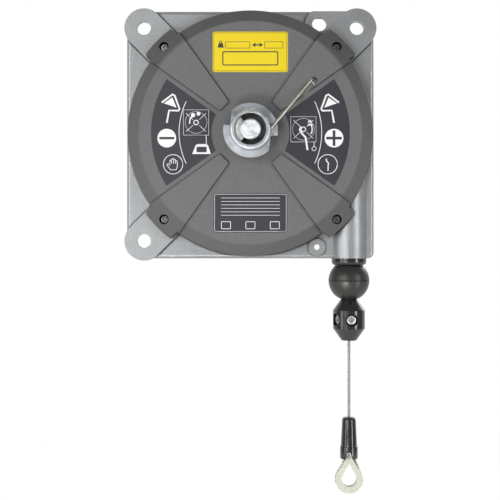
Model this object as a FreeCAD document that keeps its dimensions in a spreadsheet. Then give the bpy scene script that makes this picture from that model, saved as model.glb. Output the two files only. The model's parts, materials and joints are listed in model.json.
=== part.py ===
import FreeCAD, Part
import math
import os
import re
import Sketcher
from FreeCAD import Placement, Rotation, Vector

# A spring balancer: a wire rope winds on a grooved conical drum that a power spring turns back.
# The origin is the centre of the rear boss on the drum's axis. +X is right, +Z is up, the front faces -Y.
# Depths are measured forward from the rear face, so a depth of 52 lies at Y = -52.

SIZES = {
    # Cast housing
    "plate_margin": 2.4,
    "plate_thickness": 5.0,
    "plate_front": 52.0,
    "plate_edge_radius": 3.5,
    "plain_corner_radius": 6.0,
    "rim_wall": 4.0,
    "rim_depth": 12.0,
    "lug_inset": 17.5,
    "lug_radius": 19.6,
    "lug_hole_radius": 7.0,
    "lug_step": 3.0,
    "pot_wall": 4.0,
    "pot_rear_chamfer": 3.0,
    "pot_rear_wall": 5.0,
    "rear_rib_height": 4.0,
    "rear_rib_width": 5.0,
    "rear_rib_count": 8,
    "rear_boss_radius": 20.0,
    "inner_boss_height": 1.0,
    "upper_hole_gap": 8.8,
    "upper_hole_angle": 58.05,
    "upper_hole_radius": 7.3,
    "upper_boss_radius": 14.4,
    "lower_boss_gap": 9.4,
    "lower_boss_angle": 59.4,
    "lower_boss_radius": 8.7,
    "lower_hole_radius": 2.85,
    "screw_boss_radius": 6.6,
    "screw_hole_spare": 1.0,
    # Rope outlet
    "tube_offset": 0.8,
    "tube_drop": 10.0,
    "tube_radius": 18.8,
    "tube_bore_radius": 10.0,
    "tube_top_drop": 20.0,
    "guide_flange_radius": 17.6,
    "guide_flange_height": 6.9,
    "guide_flange_rounding": 3.0,
    "guide_bore_radius": 2.2,
    "guide_length": 22.0,
    "guide_mouth_radius": 6.6,
    "guide_mouth_depth": 6.6,
    "guide_mouth_middle_radius": 3.1,
    "guide_mouth_middle_depth": 2.2,
    # Front cover
    "cover_lip": 6.6,
    "cover_wall": 3.0,
    "cover_rise": 20.0,
    "cover_band_width": 12.1,
    "cover_band_drop": 5.0,
    "cover_edge_drop": 1.6,
    "cover_hub_radius": 22.5,
    "hub_rise": 10.5,
    "wedge_step": 2.5,
    "wedge_inner_radius": 36.3,
    "wedge_inner_half": 6.2,
    "wedge_outer_half": 20.2,
    "wedge_bevel": 9.6,
    "tab_reach": 8.4,
    "tab_width": 35.0,
    "tab_drop": 8.0,
    "cover_screw_inset": 1.1,
    "cover_screw_recess_radius": 4.75,
    "screw_pillar": 8.0,
    "slot_x": 57.3,
    "slot_z": 45.4,
    "slot_length": 22.0,
    "slot_width": 6.6,
    "slot_angle": 47.2,
    # Screws
    "screw_radius": 2.5,
    "screw_length": 16.0,
    "screw_head_radius": 4.2,
    "screw_head_height": 3.2,
    "screw_socket_radius": 1.7,
    "screw_socket_depth": 1.8,
    # Axle, sleeve and ratchet ring
    "axle_radius": 10.0,
    "axle_reach": 1.0,
    "axle_chamfer": 1.0,
    "axle_head_radius": 15.0,
    "axle_head_height": 3.0,
    "sleeve_radius": 15.2,
    "sleeve_reach": 6.5,
    "tang_start": 130.0,
    "tang_end": 232.0,
    "tang_length": 11.0,
    "ring_gap": 0.2,
    "ring_flange": 7.0,
    "ring_radius": 26.4,
    "ring_notch_drop": 5.4,
    "ring_notch_depth": 6.6,
    "ring_notch_slant": 2.0,
    "collar_radius": 19.0,
    "collar_height": 11.0,
    "collar_chamfer": 1.4,
    "washer_thickness": 2.0,
    "bush_wall": 2.8,
    "bush_flange_radius": 20.5,
    "bush_flange": 1.3,
    # Drum and power spring
    "web_gap": 3.0,
    "drum_web": 4.0,
    "drum_nose_inset": 6.0,
    "drum_hub_radius": 24.0,
    "drum_rear_gap": 2.0,
    "groove_count": 5,
    "groove_pitch": 4.5,
    "groove_step": 4.5,
    "groove_edge": 3.6,
    "groove_mean_radius": 99.0,
    "drum_flange": 3.0,
    "drum_flange_height": 4.5,
    "drum_clearance": 2.5,
    "chamber_wall": 10.0,
    "drum_rim_wall": 12.0,
    "drum_plate": 3.0,
    "drum_plate_screw_count": 6,
    "drum_plate_lap": 8.0,
    "drum_plate_screw_radius": 1.5,
    "drum_plate_screw_head_radius": 2.85,
    "drum_plate_screw_length": 10.0,
    "spring_turns": 5,
    "spring_thickness": 1.6,
    "spring_room": 1.0,
    "spring_inner_radius": 17.4,
    "spring_side_room": 5.0,
    "stud_radius": 2.0,
    # Rope and its end fittings
    "rope_radius": 1.5,
    "rope_bend_radius": 18.0,
    "rope_eye_bend_radius": 4.5,
    "ball_radius": 20.6,
    "ball_top": 15.2,
    "ball_bottom": 18.05,
    "clamp_radius": 16.1,
    "clamp_neck_radius": 7.6,
    "clamp_upper_cone": 12.05,
    "clamp_barrel": 18.4,
    "clamp_lower_cone": 12.0,
    "clamp_screw_recess_radius": 6.2,
    "clamp_screw_recess_depth": 6.0,
    "clamp_screw_radius": 3.6,
    "clamp_screw_head_radius": 4.8,
    "clamp_screw_head_height": 3.0,
    "clamp_screw_tip_radius": 0.9,
    "clamp_screw_tip_length": 4.1,
    "clamp_screw_socket_radius": 2.2,
    "clamp_screw_angle": 72.0,
    "clamp_turn": 6.0,
    "free_rope_length": 77.9,
    "end_sleeve_length": 41.5,
    "end_sleeve_top_radius": 6.9,
    "end_sleeve_radius": 8.5,
    "end_sleeve_cap": 6.0,
    "end_sleeve_wall": 0.9,
    "end_sleeve_rounding": 2.5,
    "end_sleeve_taper": 3.0,
    "end_sleeve_notch": 6.4,
    "end_sleeve_notch_width": 9.0,
    "ferrule_radius": 4.4,
    "ferrule_length": 20.0,
    "thimble_apex": 36.6,
    "thimble_radius": 13.9,
    "thimble_height": 39.9,
    "thimble_eye_radius": 7.9,
    "thimble_eye_length": 23.5,
    "thimble_eye_base": 6.5,
    "thimble_width": 6.6,
    "thimble_flange": 1.5,
    "thimble_core_radius": 10.3,
    "thimble_core_drop": 5.8,
    "rope_eye_rise": 4.8,
    # Wire lock
    "wire_radius": 1.05,
    "wire_pin_x": 59.5,
    "wire_pin_z": 50.9,
    "wire_pin_sink": 0.4,
    "wire_loop_radius": 2.15,
    "wire_pin_radius": 1.0,
    "wire_pin_length": 11.0,
    "wire_leg": 64.0,
    "wire_tail": 11.0,
    "wire_lift": 3.2,
    "wire_angle": 51.15,
    # Clearances
    "running_clearance": 0.05,
    "seat_clearance": 0.3,
    "cover_clearance": 0.4,
    "cut_past": 1.0,
}

doc = FreeCAD.newDocument("tool_balancer")
sheet = doc.addObject("Spreadsheet::Sheet", "sizes")
for row, (alias, value) in enumerate(SIZES.items(), start=1):
    sheet.set(f"A{row}", alias)
    sheet.set(f"B{row}", str(value))
    sheet.setAlias(f"B{row}", alias)
doc.recompute()

ORIGIN_POINT = (-1, 1)
TOLERANCE = 0.001


def size(alias):
    """A driving size, read from the sheet."""
    return float(sheet.get(alias))


def bound(text):
    """An expression with its size names written as cells of the sheet."""
    return re.sub(
        r"[a-z][a-z_]*", lambda m: f"sizes.{m[0]}" if m[0] in SIZES else m[0], text
    )


def amount(text):
    """The present value of an expression."""
    return float(sheet.evalExpression(bound(text)))


def drive(item, name, text):
    """Binds a property to an expression."""
    item.setExpression(name, bound(text))


def new_body(label, x="0", y="0", z="0"):
    """An empty body with its own label and place."""
    body = doc.addObject("PartDesign::Body", label)
    body.Label = label
    body.Placement = Placement(Vector(amount(x), amount(y), amount(z)), Rotation())
    drive(body, "Placement.Base.x", x)
    drive(body, "Placement.Base.y", y)
    drive(body, "Placement.Base.z", z)
    return body


def origin_item(body, role):
    """One of the body's own origin planes or axes."""
    return next(f for f in body.Origin.OriginFeatures if f.Role == role)


def new_sketch(body, name, role, lift="0"):
    """A sketch on one of the body's own origin planes, lifted along its normal."""
    sketch = body.newObject("Sketcher::SketchObject", name)
    sketch.AttachmentSupport = [(origin_item(body, role), "")]
    sketch.MapMode = "FlatFace"
    drive(sketch, "AttachmentOffset.Base.z", lift)
    return sketch


def fix(sketch, kind, items, text):
    """Adds a constraint whose value follows an expression."""
    index = sketch.addConstraint(Sketcher.Constraint(kind, *items, amount(text)))
    drive(sketch, f"Constraints[{index}]", text)


def add_circle(sketch, x, z, radius):
    """A circle held by its centre and radius."""
    circle = Part.Circle(Vector(amount(x), amount(z), 0), Vector(0, 0, 1), amount(radius))
    index = sketch.addGeometry(circle, False)
    fix(sketch, "DistanceX", (*ORIGIN_POINT, index, 3), x)
    fix(sketch, "DistanceY", (*ORIGIN_POINT, index, 3), z)
    fix(sketch, "Radius", (index,), radius)


def arc_between(start, end, radius):
    """An arc of a signed radius: a positive one turns left on its way."""
    chord = end - start
    middle = (start + end) * 0.5
    side = Vector(-chord.y, chord.x, 0).normalize()
    rise = math.sqrt(max(radius**2 - (chord.Length / 2) ** 2, 0))
    centre = middle + side * math.copysign(rise, radius)
    angles = [math.atan2(p.y - centre.y, p.x - centre.x) for p in (start, end)]
    if radius < 0:
        angles.reverse()
    circle = Part.Circle(centre, Vector(0, 0, 1), abs(radius))
    return Part.ArcOfCircle(circle, *angles)


def add_outline(sketch, points):
    """A closed outline of (x, z) expressions. A third entry is the radius of the arc that leads there."""
    places = [Vector(amount(p[0]), amount(p[1]), 0) for p in points]
    ends = []
    for i, point in enumerate(points):
        before = places[i - 1]
        if len(point) == 2:
            index = sketch.addGeometry(Part.LineSegment(before, places[i]), False)
            ends.append((index, 1, 2))
        else:
            radius = amount(point[2])
            index = sketch.addGeometry(arc_between(before, places[i], radius), False)
            fix(sketch, "Radius", (index,), f"abs({point[2]})")
            ends.append((index, 1, 2) if radius > 0 else (index, 2, 1))
    for i, (index, _, last) in enumerate(ends):
        following, first, _ = ends[(i + 1) % len(ends)]
        sketch.addConstraint(Sketcher.Constraint("Coincident", index, last, following, first))
        fix(sketch, "DistanceX", (*ORIGIN_POINT, index, last), points[i][0])
        fix(sketch, "DistanceY", (*ORIGIN_POINT, index, last), points[i][1])


def add_rectangle(sketch, left, bottom, right, top):
    add_outline(sketch, [(left, bottom), (right, bottom), (right, top), (left, top)])


def extrude(body, kind, sketch, length, reverse=False):
    """A pad or a pocket of a sketch."""
    feature = body.newObject(f"PartDesign::{kind}", f"{sketch.Name}_{kind.lower()}")
    feature.Profile = sketch
    feature.Length = amount(length)
    drive(feature, "Length", length)
    feature.Reversed = reverse
    sketch.Visibility = False
    doc.recompute()
    return feature


def front_pad(body, name, back, front, draw):
    """Pads a sketch seen from the front, between two depths."""
    sketch = new_sketch(body, name, "XZ_Plane", back)
    draw(sketch)
    return extrude(body, "Pad", sketch, f"({front}) - ({back})")


def front_pocket(body, name, back, front, draw):
    """Cuts a sketch seen from the front, between two depths."""
    sketch = new_sketch(body, name, "XZ_Plane", front)
    draw(sketch)
    return extrude(body, "Pocket", sketch, f"({front}) - ({back})")


def turned(body, name, points, kind="Revolution", role="XY_Plane"):
    """Turns a profile of (radius, depth) points about Y, or of (radius, height) points about Z."""
    sketch = new_sketch(body, name, role)
    if role == "XY_Plane":
        points = [(p[0], f"-({p[1]})", *[f"-({r})" for r in p[2:]]) for p in points]
    add_outline(sketch, points)
    feature = body.newObject(f"PartDesign::{kind}", f"{name}_{kind.lower()}")
    feature.Profile = sketch
    feature.ReferenceAxis = (sketch, ["V_Axis"])
    feature.Angle = 360
    sketch.Visibility = False
    doc.recompute()
    return feature


def repeat(body, feature, count, angle="360", clockwise=False):
    """A polar pattern of one feature about the sketch normal."""
    pattern = body.newObject("PartDesign::PolarPattern", f"{feature.Name}_pattern")
    pattern.Originals = [feature]
    pattern.Axis = (feature.Profile[0], ["N_Axis"])
    drive(pattern, "Angle", angle)
    drive(pattern, "Occurrences", count)
    pattern.Reversed = clockwise
    body.Tip = pattern
    doc.recompute()
    return pattern


def edges_at(shape, y):
    """The names of the edges that lie wholly at one depth."""
    names = []
    for number, edge in enumerate(shape.Edges, start=1):
        box = edge.BoundBox
        if max(abs(box.YMin - y), abs(box.YMax - y)) < TOLERANCE:
            names.append(f"Edge{number}")
    return names


def round_front_edges(body, name, radius):
    """Rounds the edges that bound the body's front face."""
    base = body.Tip
    front = min(vertex.Y for vertex in base.Shape.Vertexes)
    feature = body.newObject("PartDesign::Fillet", name)
    feature.Base = (base, edges_at(base.Shape, front))
    drive(feature, "Radius", radius)
    doc.recompute()
    return feature


def diagonal(u, v):
    """A place on the lower-left diagonal, u outward and v along the circle, as (x, z)."""
    return (f"(-({u}) + ({v})) / sqrt(2)", f"(-({u}) - ({v})) / sqrt(2)")


GROOVE_SPAN = "((groove_count - 1) / 2 * groove_step)"
FRONT_GROOVE = f"(groove_mean_radius - {GROOVE_SPAN})"
REAR_GROOVE = f"(groove_mean_radius + {GROOVE_SPAN})"
DRUM_FLANGE = f"({REAR_GROOVE} + drum_flange_height)"
CHAMBER = f"({FRONT_GROOVE} - chamber_wall)"
DRUM_RIM = f"({CHAMBER} + drum_rim_wall)"
POT_INSIDE = f"({DRUM_FLANGE} + drum_clearance)"
POT_RADIUS = f"({POT_INSIDE} + pot_wall)"
POT_FLOOR = "(rear_rib_height + pot_rear_wall)"
INNER_BOSS = f"({POT_FLOOR} + inner_boss_height)"
COVER = f"({POT_INSIDE} + cover_lip)"
TAB = f"({COVER} + tab_reach)"
HALF = f"({COVER} + plate_margin)"
LUG = f"({HALF} - lug_inset)"
TUBE_DEPTH = "(plate_front - tube_drop)"
SCREW_SEAT = "(plate_front + screw_pillar)"
COVER_FACE = "(plate_front + cover_rise)"
BAND_EDGE = f"({COVER_FACE} - cover_band_drop)"
HUB_FACE = f"({COVER_FACE} + hub_rise)"
TAB_EDGE = f"({COVER_FACE} - tab_drop)"
SLEEVE_FRONT = f"({HUB_FACE} + sleeve_reach)"
TANG_FRONT = f"({SLEEVE_FRONT} + tang_length)"
RING_BACK = f"({HUB_FACE} + bush_flange + ring_gap)"
COLLAR_FRONT = f"({RING_BACK} + ring_flange + collar_height)"
AXLE_TIP = f"({COLLAR_FRONT} + axle_reach)"
WEB_FRONT = f"({COVER_FACE} - cover_wall - web_gap)"
DRUM_BACK = f"({POT_FLOOR} + drum_rear_gap + drum_plate)"
WIRE_PIN_DEPTH = f"({COVER_FACE} - wire_pin_sink)"
WIRE_TIP_DEPTH = f"({RING_BACK} + ring_flange + wire_lift)"
SPRING_WIDTH = f"({WEB_FRONT} - drum_web - {DRUM_BACK} - 2 * spring_side_room)"
LUG_FACE = "(plate_front + lug_step)"
PLATE_BACK = "(plate_front - plate_thickness)"
SCREW = f"(({COVER} - cover_screw_inset) / sqrt(2))"
TUBE_X = "(groove_mean_radius + tube_offset)"
UPPER_HOLE_X = f"(({COVER} + upper_hole_gap) * cos(upper_hole_angle))"
UPPER_HOLE_Z = f"(({COVER} + upper_hole_gap) * sin(upper_hole_angle))"
LOWER_BOSS_X = f"(({COVER} + lower_boss_gap) * cos(lower_boss_angle))"
LOWER_BOSS_Z = f"(-({COVER} + lower_boss_gap) * sin(lower_boss_angle))"


def draw_plate(sketch, inset):
    """The square plate: three corners follow the lugs and the fourth is plain."""
    half = f"({HALF} - {inset})"
    lug = f"({HALF} - {LUG} - {inset})"
    plain = f"(plain_corner_radius - {inset} / 2)"
    add_outline(
        sketch,
        [
            (half, f"-{half} + {plain}", plain),
            (half, f"{half} - {lug}"),
            (f"{half} - {lug}", half, lug),
            (f"-{half} + {lug}", half),
            (f"-{half}", f"{half} - {lug}", lug),
            (f"-{half}", f"-{half} + {lug}"),
            (f"-{half} + {lug}", f"-{half}", lug),
            (f"{half} - {plain}", f"-{half}"),
        ],
    )


def draw_rim(sketch):
    draw_plate(sketch, "0")
    draw_plate(sketch, "rim_wall")


def draw_lug_strap(sketch):
    """A lug's round end with its strap, which runs in under the cover."""
    reach = f"({LUG} * sqrt(2))"
    root = f"({POT_INSIDE} - pot_wall)"
    add_outline(
        sketch,
        [
            (*diagonal(f"{reach} + lug_radius", "0"), "lug_radius"),
            (*diagonal(reach, "lug_radius"), "lug_radius"),
            diagonal(root, "lug_radius"),
            diagonal(root, "-lug_radius"),
            diagonal(reach, "-lug_radius"),
        ],
    )


def draw_upper_pad(sketch):
    """The pad round the upper hole, joined to the upper right lug."""
    low = f"{UPPER_HOLE_Z} - upper_boss_radius"
    add_outline(
        sketch,
        [
            (LUG, low),
            (LUG, HALF),
            (UPPER_HOLE_X, HALF),
            (f"{UPPER_HOLE_X} - upper_boss_radius", UPPER_HOLE_Z, "upper_boss_radius"),
            (UPPER_HOLE_X, low, "upper_boss_radius"),
        ],
    )


def draw_corner_circles(sketch, offset, radius):
    for x in ("", "-"):
        for z in ("", "-"):
            add_circle(sketch, f"{x}{offset}", f"{z}{offset}", radius)


def make_housing():
    """The casting: square plate, round pot behind it, three lugs and the rope tube."""
    body = new_body("housing")
    front_pad(body, "plate", PLATE_BACK, "plate_front", lambda s: draw_plate(s, "0"))
    round_front_edges(body, "plate_edge", "plate_edge_radius")
    front_pad(body, "plate_rim", f"{PLATE_BACK} - rim_depth", PLATE_BACK, draw_rim)
    turned(
        body,
        "pot",
        [
            ("0", "rear_rib_height"),
            (f"{POT_RADIUS} - pot_rear_chamfer", "rear_rib_height"),
            (POT_RADIUS, "rear_rib_height + pot_rear_chamfer"),
            (POT_RADIUS, PLATE_BACK),
            ("0", PLATE_BACK),
        ],
    )
    front_pad(
        body,
        "screw_bosses",
        f"{PLATE_BACK} - rim_depth",
        PLATE_BACK,
        lambda s: draw_corner_circles(s, SCREW, "screw_boss_radius"),
    )
    strap = front_pad(body, "lug_strap", PLATE_BACK, LUG_FACE, draw_lug_strap)
    repeat(body, strap, "3", "180", clockwise=True)
    front_pad(body, "upper_pad", PLATE_BACK, LUG_FACE, draw_upper_pad)
    front_pad(
        body,
        "lower_boss",
        PLATE_BACK,
        "plate_front + lug_step / 2",
        lambda s: add_circle(s, LOWER_BOSS_X, LOWER_BOSS_Z, "lower_boss_radius"),
    )
    turned(
        body,
        "cover_seat",
        [
            (POT_INSIDE, "plate_front"),
            (f"{COVER} + cover_clearance", "plate_front"),
            (f"{COVER} + cover_clearance", COVER_FACE),
            (POT_INSIDE, COVER_FACE),
        ],
        "Groove",
    )
    front_pocket(
        body,
        "pillar_seats",
        "plate_front",
        COVER_FACE,
        lambda s: draw_corner_circles(s, SCREW, "screw_boss_radius + cover_clearance"),
    )
    tube = new_sketch(body, "rope_tube", "XY_Plane", f"-{HALF}")
    add_circle(tube, TUBE_X, f"-{TUBE_DEPTH}", "tube_radius")
    extrude(body, "Pad", tube, f"{HALF} - tube_top_drop")
    turned(
        body,
        "drum_chamber",
        [
            ("0", POT_FLOOR),
            (POT_INSIDE, POT_FLOOR),
            (POT_INSIDE, COVER_FACE),
            ("0", COVER_FACE),
        ],
        "Groove",
    )
    turned(
        body,
        "axle_boss",
        [
            ("axle_radius + running_clearance", "axle_head_height"),
            ("axle_head_radius + running_clearance", "axle_head_height"),
            ("axle_head_radius + running_clearance", "0"),
            ("rear_boss_radius", "0"),
            ("rear_boss_radius", INNER_BOSS),
            ("axle_radius + running_clearance", INNER_BOSS),
        ],
    )
    rib = front_pad(
        body,
        "rear_rib",
        "0",
        "rear_rib_height",
        lambda s: add_rectangle(
            s,
            "rear_boss_radius - rear_rib_width / 2",
            "-rear_rib_width / 2",
            f"{POT_INSIDE} - pot_wall",
            "rear_rib_width / 2",
        ),
    )
    repeat(body, rib, "rear_rib_count")
    turned(
        body,
        "axle_hole",
        [
            ("0", "-cut_past"),
            ("axle_head_radius + running_clearance", "-cut_past"),
            ("axle_head_radius + running_clearance", "axle_head_height"),
            ("axle_radius + running_clearance", "axle_head_height"),
            ("axle_radius + running_clearance", COVER_FACE),
            ("0", COVER_FACE),
        ],
        "Groove",
    )
    bore = new_sketch(body, "tube_bore", "XY_Plane", f"-{HALF}")
    add_circle(bore, TUBE_X, f"-{TUBE_DEPTH}", "tube_bore_radius")
    extrude(body, "Pocket", bore, f"{HALF} - tube_top_drop - tube_radius", True)

    def draw_mounting_holes(sketch):
        for x, z in (("-", ""), ("", ""), ("-", "-")):
            add_circle(sketch, f"{x}{LUG}", f"{z}{LUG}", "lug_hole_radius")
        add_circle(sketch, UPPER_HOLE_X, UPPER_HOLE_Z, "upper_hole_radius")
        add_circle(sketch, LOWER_BOSS_X, LOWER_BOSS_Z, "lower_hole_radius")

    front_pocket(body, "mounting_holes", "rear_rib_height", COVER_FACE, draw_mounting_holes)
    front_pocket(
        body,
        "screw_holes",
        f"{SCREW_SEAT} - screw_length - screw_hole_spare",
        COVER_FACE,
        lambda s: draw_corner_circles(s, SCREW, "screw_radius + running_clearance"),
    )
    return body


COVER_INSIDE = f"{COVER_FACE} - cover_wall"
WEDGE_FACE = f"{COVER_FACE} + wedge_step"
HUB_BORE = "(sleeve_radius + running_clearance + bush_wall)"


def draw_wedge(sketch):
    """A wedge that widens outward from the hub, with the screw tab at its end."""
    half = "(tab_width / 2)"
    rim = f"sqrt({COVER}^2 - wedge_outer_half^2)"
    corner = f"sqrt({TAB}^2 - {half}^2)"
    tab = f"sqrt({COVER}^2 - {half}^2)"
    add_outline(
        sketch,
        [
            diagonal("wedge_inner_radius", "-wedge_inner_half"),
            diagonal(rim, "-wedge_outer_half"),
            (*diagonal(tab, f"-{half}"), COVER),
            diagonal(corner, f"-{half}"),
            (*diagonal(corner, half), TAB),
            diagonal(tab, half),
            (*diagonal(rim, "wedge_outer_half"), COVER),
            diagonal("wedge_inner_radius", "wedge_inner_half"),
        ],
    )


def draw_slot(sketch):
    """The slot that the wire lock comes out of, drawn as a slanting rounded bar."""
    along = "((slot_length - slot_width) / 2)"
    half = "(slot_width / 2)"
    nose = "(slot_length / 2)"
    corners = [(along, f"-{half}"), (nose, "0", half), (along, half, half)]
    corners += [(f"-{along}", half), (f"-{nose}", "0", half), (f"-{along}", f"-{half}", half)]
    places = []
    for s, w, *arc in corners:
        x = f"slot_x + {s} * cos(slot_angle) - ({w}) * sin(slot_angle)"
        z = f"slot_z + {s} * sin(slot_angle) + ({w}) * cos(slot_angle)"
        places.append((x, z, *arc))
    add_outline(sketch, places)


def draw_pin_groove(sketch):
    """The groove under the cover that the wire lock's pin lies in."""
    reach = "((wire_pin_length + seat_clearance) / 2)"
    half = "(wire_pin_radius + running_clearance)"
    corners = [(reach, f"-{half}"), (reach, half), (f"-{reach}", half), (f"-{reach}", f"-{half}")]
    places = []
    for s, w in corners:
        x = f"wire_pin_x - {s} * sin(wire_angle) + ({w}) * cos(wire_angle)"
        z = f"wire_pin_z + {s} * cos(wire_angle) + ({w}) * sin(wire_angle)"
        places.append((x, z))
    add_outline(sketch, places)


def make_cover():
    """The moulded front cover: round shell, four wedges that end in screw tabs, and the hub."""
    body = new_body("front_cover")
    turned(
        body,
        "cover_shell",
        [
            ("0", "plate_front"),
            (COVER, "plate_front"),
            (COVER, f"{BAND_EDGE} - cover_edge_drop"),
            (f"{COVER} - cover_edge_drop / 2", BAND_EDGE),
            (f"{COVER} - cover_band_width", COVER_FACE),
            ("cover_hub_radius + cover_edge_drop", COVER_FACE),
            ("cover_hub_radius", f"{COVER_FACE} + cover_edge_drop"),
            ("cover_hub_radius", HUB_FACE),
            ("0", HUB_FACE),
        ],
    )
    wedge = front_pad(body, "wedge", LUG_FACE, WEDGE_FACE, draw_wedge)
    repeat(body, wedge, "4")
    turned(
        body,
        "wedge_slope",
        [
            (f"{COVER} - wedge_bevel", WEDGE_FACE),
            (f"{TAB} + cut_past", TAB_EDGE),
            (f"{TAB} + cut_past", f"{WEDGE_FACE} + cut_past"),
            (f"{COVER} - wedge_bevel", f"{WEDGE_FACE} + cut_past"),
        ],
        "Groove",
    )
    turned(
        body,
        "cover_hollow",
        [
            ("0", "plate_front - cut_past"),
            (f"{COVER} - cover_wall", "plate_front - cut_past"),
            (f"{COVER} - cover_wall", f"{BAND_EDGE} - cover_wall"),
            (f"{COVER} - cover_band_width", COVER_INSIDE),
            ("0", COVER_INSIDE),
        ],
        "Groove",
    )
    front_pad(
        body,
        "pillars",
        "plate_front",
        SCREW_SEAT,
        lambda s: draw_corner_circles(s, SCREW, "screw_boss_radius"),
    )
    turned(
        body,
        "hub_bore",
        [
            ("0", "plate_front"),
            (HUB_BORE, "plate_front"),
            (HUB_BORE, f"{HUB_FACE} + cut_past"),
            ("0", f"{HUB_FACE} + cut_past"),
        ],
        "Groove",
    )
    front_pocket(
        body,
        "screw_recesses",
        SCREW_SEAT,
        f"{WEDGE_FACE} + cut_past",
        lambda s: draw_corner_circles(s, SCREW, "cover_screw_recess_radius"),
    )
    front_pocket(
        body,
        "screw_passages",
        "plate_front - cut_past",
        SCREW_SEAT,
        lambda s: draw_corner_circles(s, SCREW, "screw_radius + seat_clearance"),
    )
    below, above = f"{COVER_INSIDE} - cut_past", f"{WEDGE_FACE} + cut_past"
    front_pocket(body, "wire_slot", below, above, draw_slot)
    front_pocket(
        body,
        "pin_groove",
        below,
        f"{WIRE_PIN_DEPTH} + wire_pin_radius + running_clearance",
        draw_pin_groove,
    )
    saddle = new_sketch(body, "tube_saddle", "XY_Plane", f"-{HALF}")
    add_circle(saddle, TUBE_X, f"-{TUBE_DEPTH}", "tube_radius + seat_clearance")
    extrude(body, "Pocket", saddle, f"{HALF} - tube_top_drop + seat_clearance", True)
    return body


def make_screw(label, x, z, back, length, radius, head_radius, head_height):
    """A round-headed screw with a socket, its shank pointing backward."""
    body = new_body(label, x, f"-({back} + {length})", z)
    turned(
        body,
        "screw",
        [
            ("0", f"-({length})"),
            (radius, f"-({length})"),
            (radius, "0"),
            (head_radius, "0"),
            (head_radius, head_height),
            ("screw_socket_radius", head_height),
            ("screw_socket_radius", f"{head_height} - screw_socket_depth"),
            ("0", f"{head_height} - screw_socket_depth"),
        ],
    )
    return body


def make_cover_screws():
    corners = {"top_left": "-+", "top_right": "++", "bottom_left": "--", "bottom_right": "+-"}
    for corner, signs in corners.items():
        make_screw(
            f"cover_screw_{corner}",
            f"{signs[0]}1 * {SCREW}",
            f"{signs[1]}1 * {SCREW}",
            f"{SCREW_SEAT} - screw_length",
            "screw_length",
            "screw_radius",
            "screw_head_radius",
            "screw_head_height",
        )


def make_axle():
    """The fixed axle: a flat head in the rear boss and a chamfered front end."""
    body = new_body("axle")
    turned(
        body,
        "axle_profile",
        [
            ("0", "0"),
            ("axle_head_radius", "0"),
            ("axle_head_radius", "axle_head_height"),
            ("axle_radius", "axle_head_height"),
            ("axle_radius", f"{AXLE_TIP} - axle_chamfer"),
            ("axle_radius - axle_chamfer", AXLE_TIP),
            ("0", AXLE_TIP),
        ],
    )
    return body


def make_washer(label, inner, outer, back, front):
    """A plain ring about the drum's axis."""
    body = new_body(label)
    turned(body, f"{label}_profile", [(inner, back), (outer, back), (outer, front), (inner, front)])
    return body


AXLE_FIT = "axle_radius + running_clearance"
SLEEVE_FIT = "(sleeve_radius + running_clearance)"
SLEEVE_BACK = f"{INNER_BOSS} + washer_thickness"
DRUM_PLATE_BACK = f"{DRUM_BACK} - drum_plate"
STUD_Y = f"-({DRUM_BACK} + {WEB_FRONT}) / 2"
SPRING_OUTSIDE = f"({CHAMBER} - spring_room)"


def make_flanged_bush(label, back, front, flange_at_front):
    """A bush on the sleeve with a thin flange at one end."""
    body = new_body(label)
    outer, wide = HUB_BORE, "bush_flange_radius"
    profile = [(SLEEVE_FIT, back), (outer, back), (outer, f"{front} - bush_flange")]
    profile += [(wide, f"{front} - bush_flange"), (wide, front), (SLEEVE_FIT, front)]
    if not flange_at_front:
        profile = [(SLEEVE_FIT, back), (wide, back), (wide, f"{back} + bush_flange")]
        profile += [(outer, f"{back} + bush_flange"), (outer, front), (SLEEVE_FIT, front)]
    turned(body, f"{label}_profile", profile)
    return body


def make_sleeve():
    """The adjusting sleeve that anchors the spring, with the tang that turns the ratchet ring."""
    body = new_body("adjusting_sleeve")
    turned(
        body,
        "sleeve_profile",
        [
            (AXLE_FIT, SLEEVE_BACK),
            ("sleeve_radius", SLEEVE_BACK),
            ("sleeve_radius", SLEEVE_FRONT),
            (AXLE_FIT, SLEEVE_FRONT),
        ],
    )

    def draw_tang(sketch):
        inner, outer = f"({AXLE_FIT})", "sleeve_radius"
        add_outline(
            sketch,
            [
                (f"{outer} * cos(tang_start)", f"{outer} * sin(tang_start)"),
                (f"{outer} * cos(tang_end)", f"{outer} * sin(tang_end)", outer),
                (f"{inner} * cos(tang_end)", f"{inner} * sin(tang_end)"),
                (f"{inner} * cos(tang_start)", f"{inner} * sin(tang_start)", f"-{inner}"),
            ],
        )

    front_pad(body, "tang", SLEEVE_FRONT, TANG_FRONT, draw_tang)
    return body


def make_ratchet_ring():
    """The plated ring: a notched flange with a chamfered collar in front."""
    body = new_body("ratchet_ring")
    bore = SLEEVE_FIT
    front = f"{RING_BACK} + ring_flange"
    turned(
        body,
        "ring_profile",
        [
            (bore, RING_BACK),
            ("ring_radius", RING_BACK),
            ("ring_radius", front),
            ("collar_radius", front),
            ("collar_radius", f"{COLLAR_FRONT} - collar_chamfer"),
            ("collar_radius - collar_chamfer", COLLAR_FRONT),
            (bore, COLLAR_FRONT),
        ],
    )

    def draw_notch(sketch):
        outside = "ring_radius + cut_past"
        add_outline(
            sketch,
            [
                (outside, "-ring_notch_drop"),
                ("ring_radius - ring_notch_depth", "-ring_notch_drop"),
                ("ring_radius - ring_notch_depth - ring_notch_slant", "-collar_radius"),
                (outside, "-ring_radius"),
            ],
        )

    notch = front_pocket(body, "ring_notch", RING_BACK, front, draw_notch)
    repeat(body, notch, "2")
    return body


def groove_radius(i):
    """The rope's centre radius in one groove: the smallest is at the front."""
    return f"({FRONT_GROOVE} + {i} * groove_step)"


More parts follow.
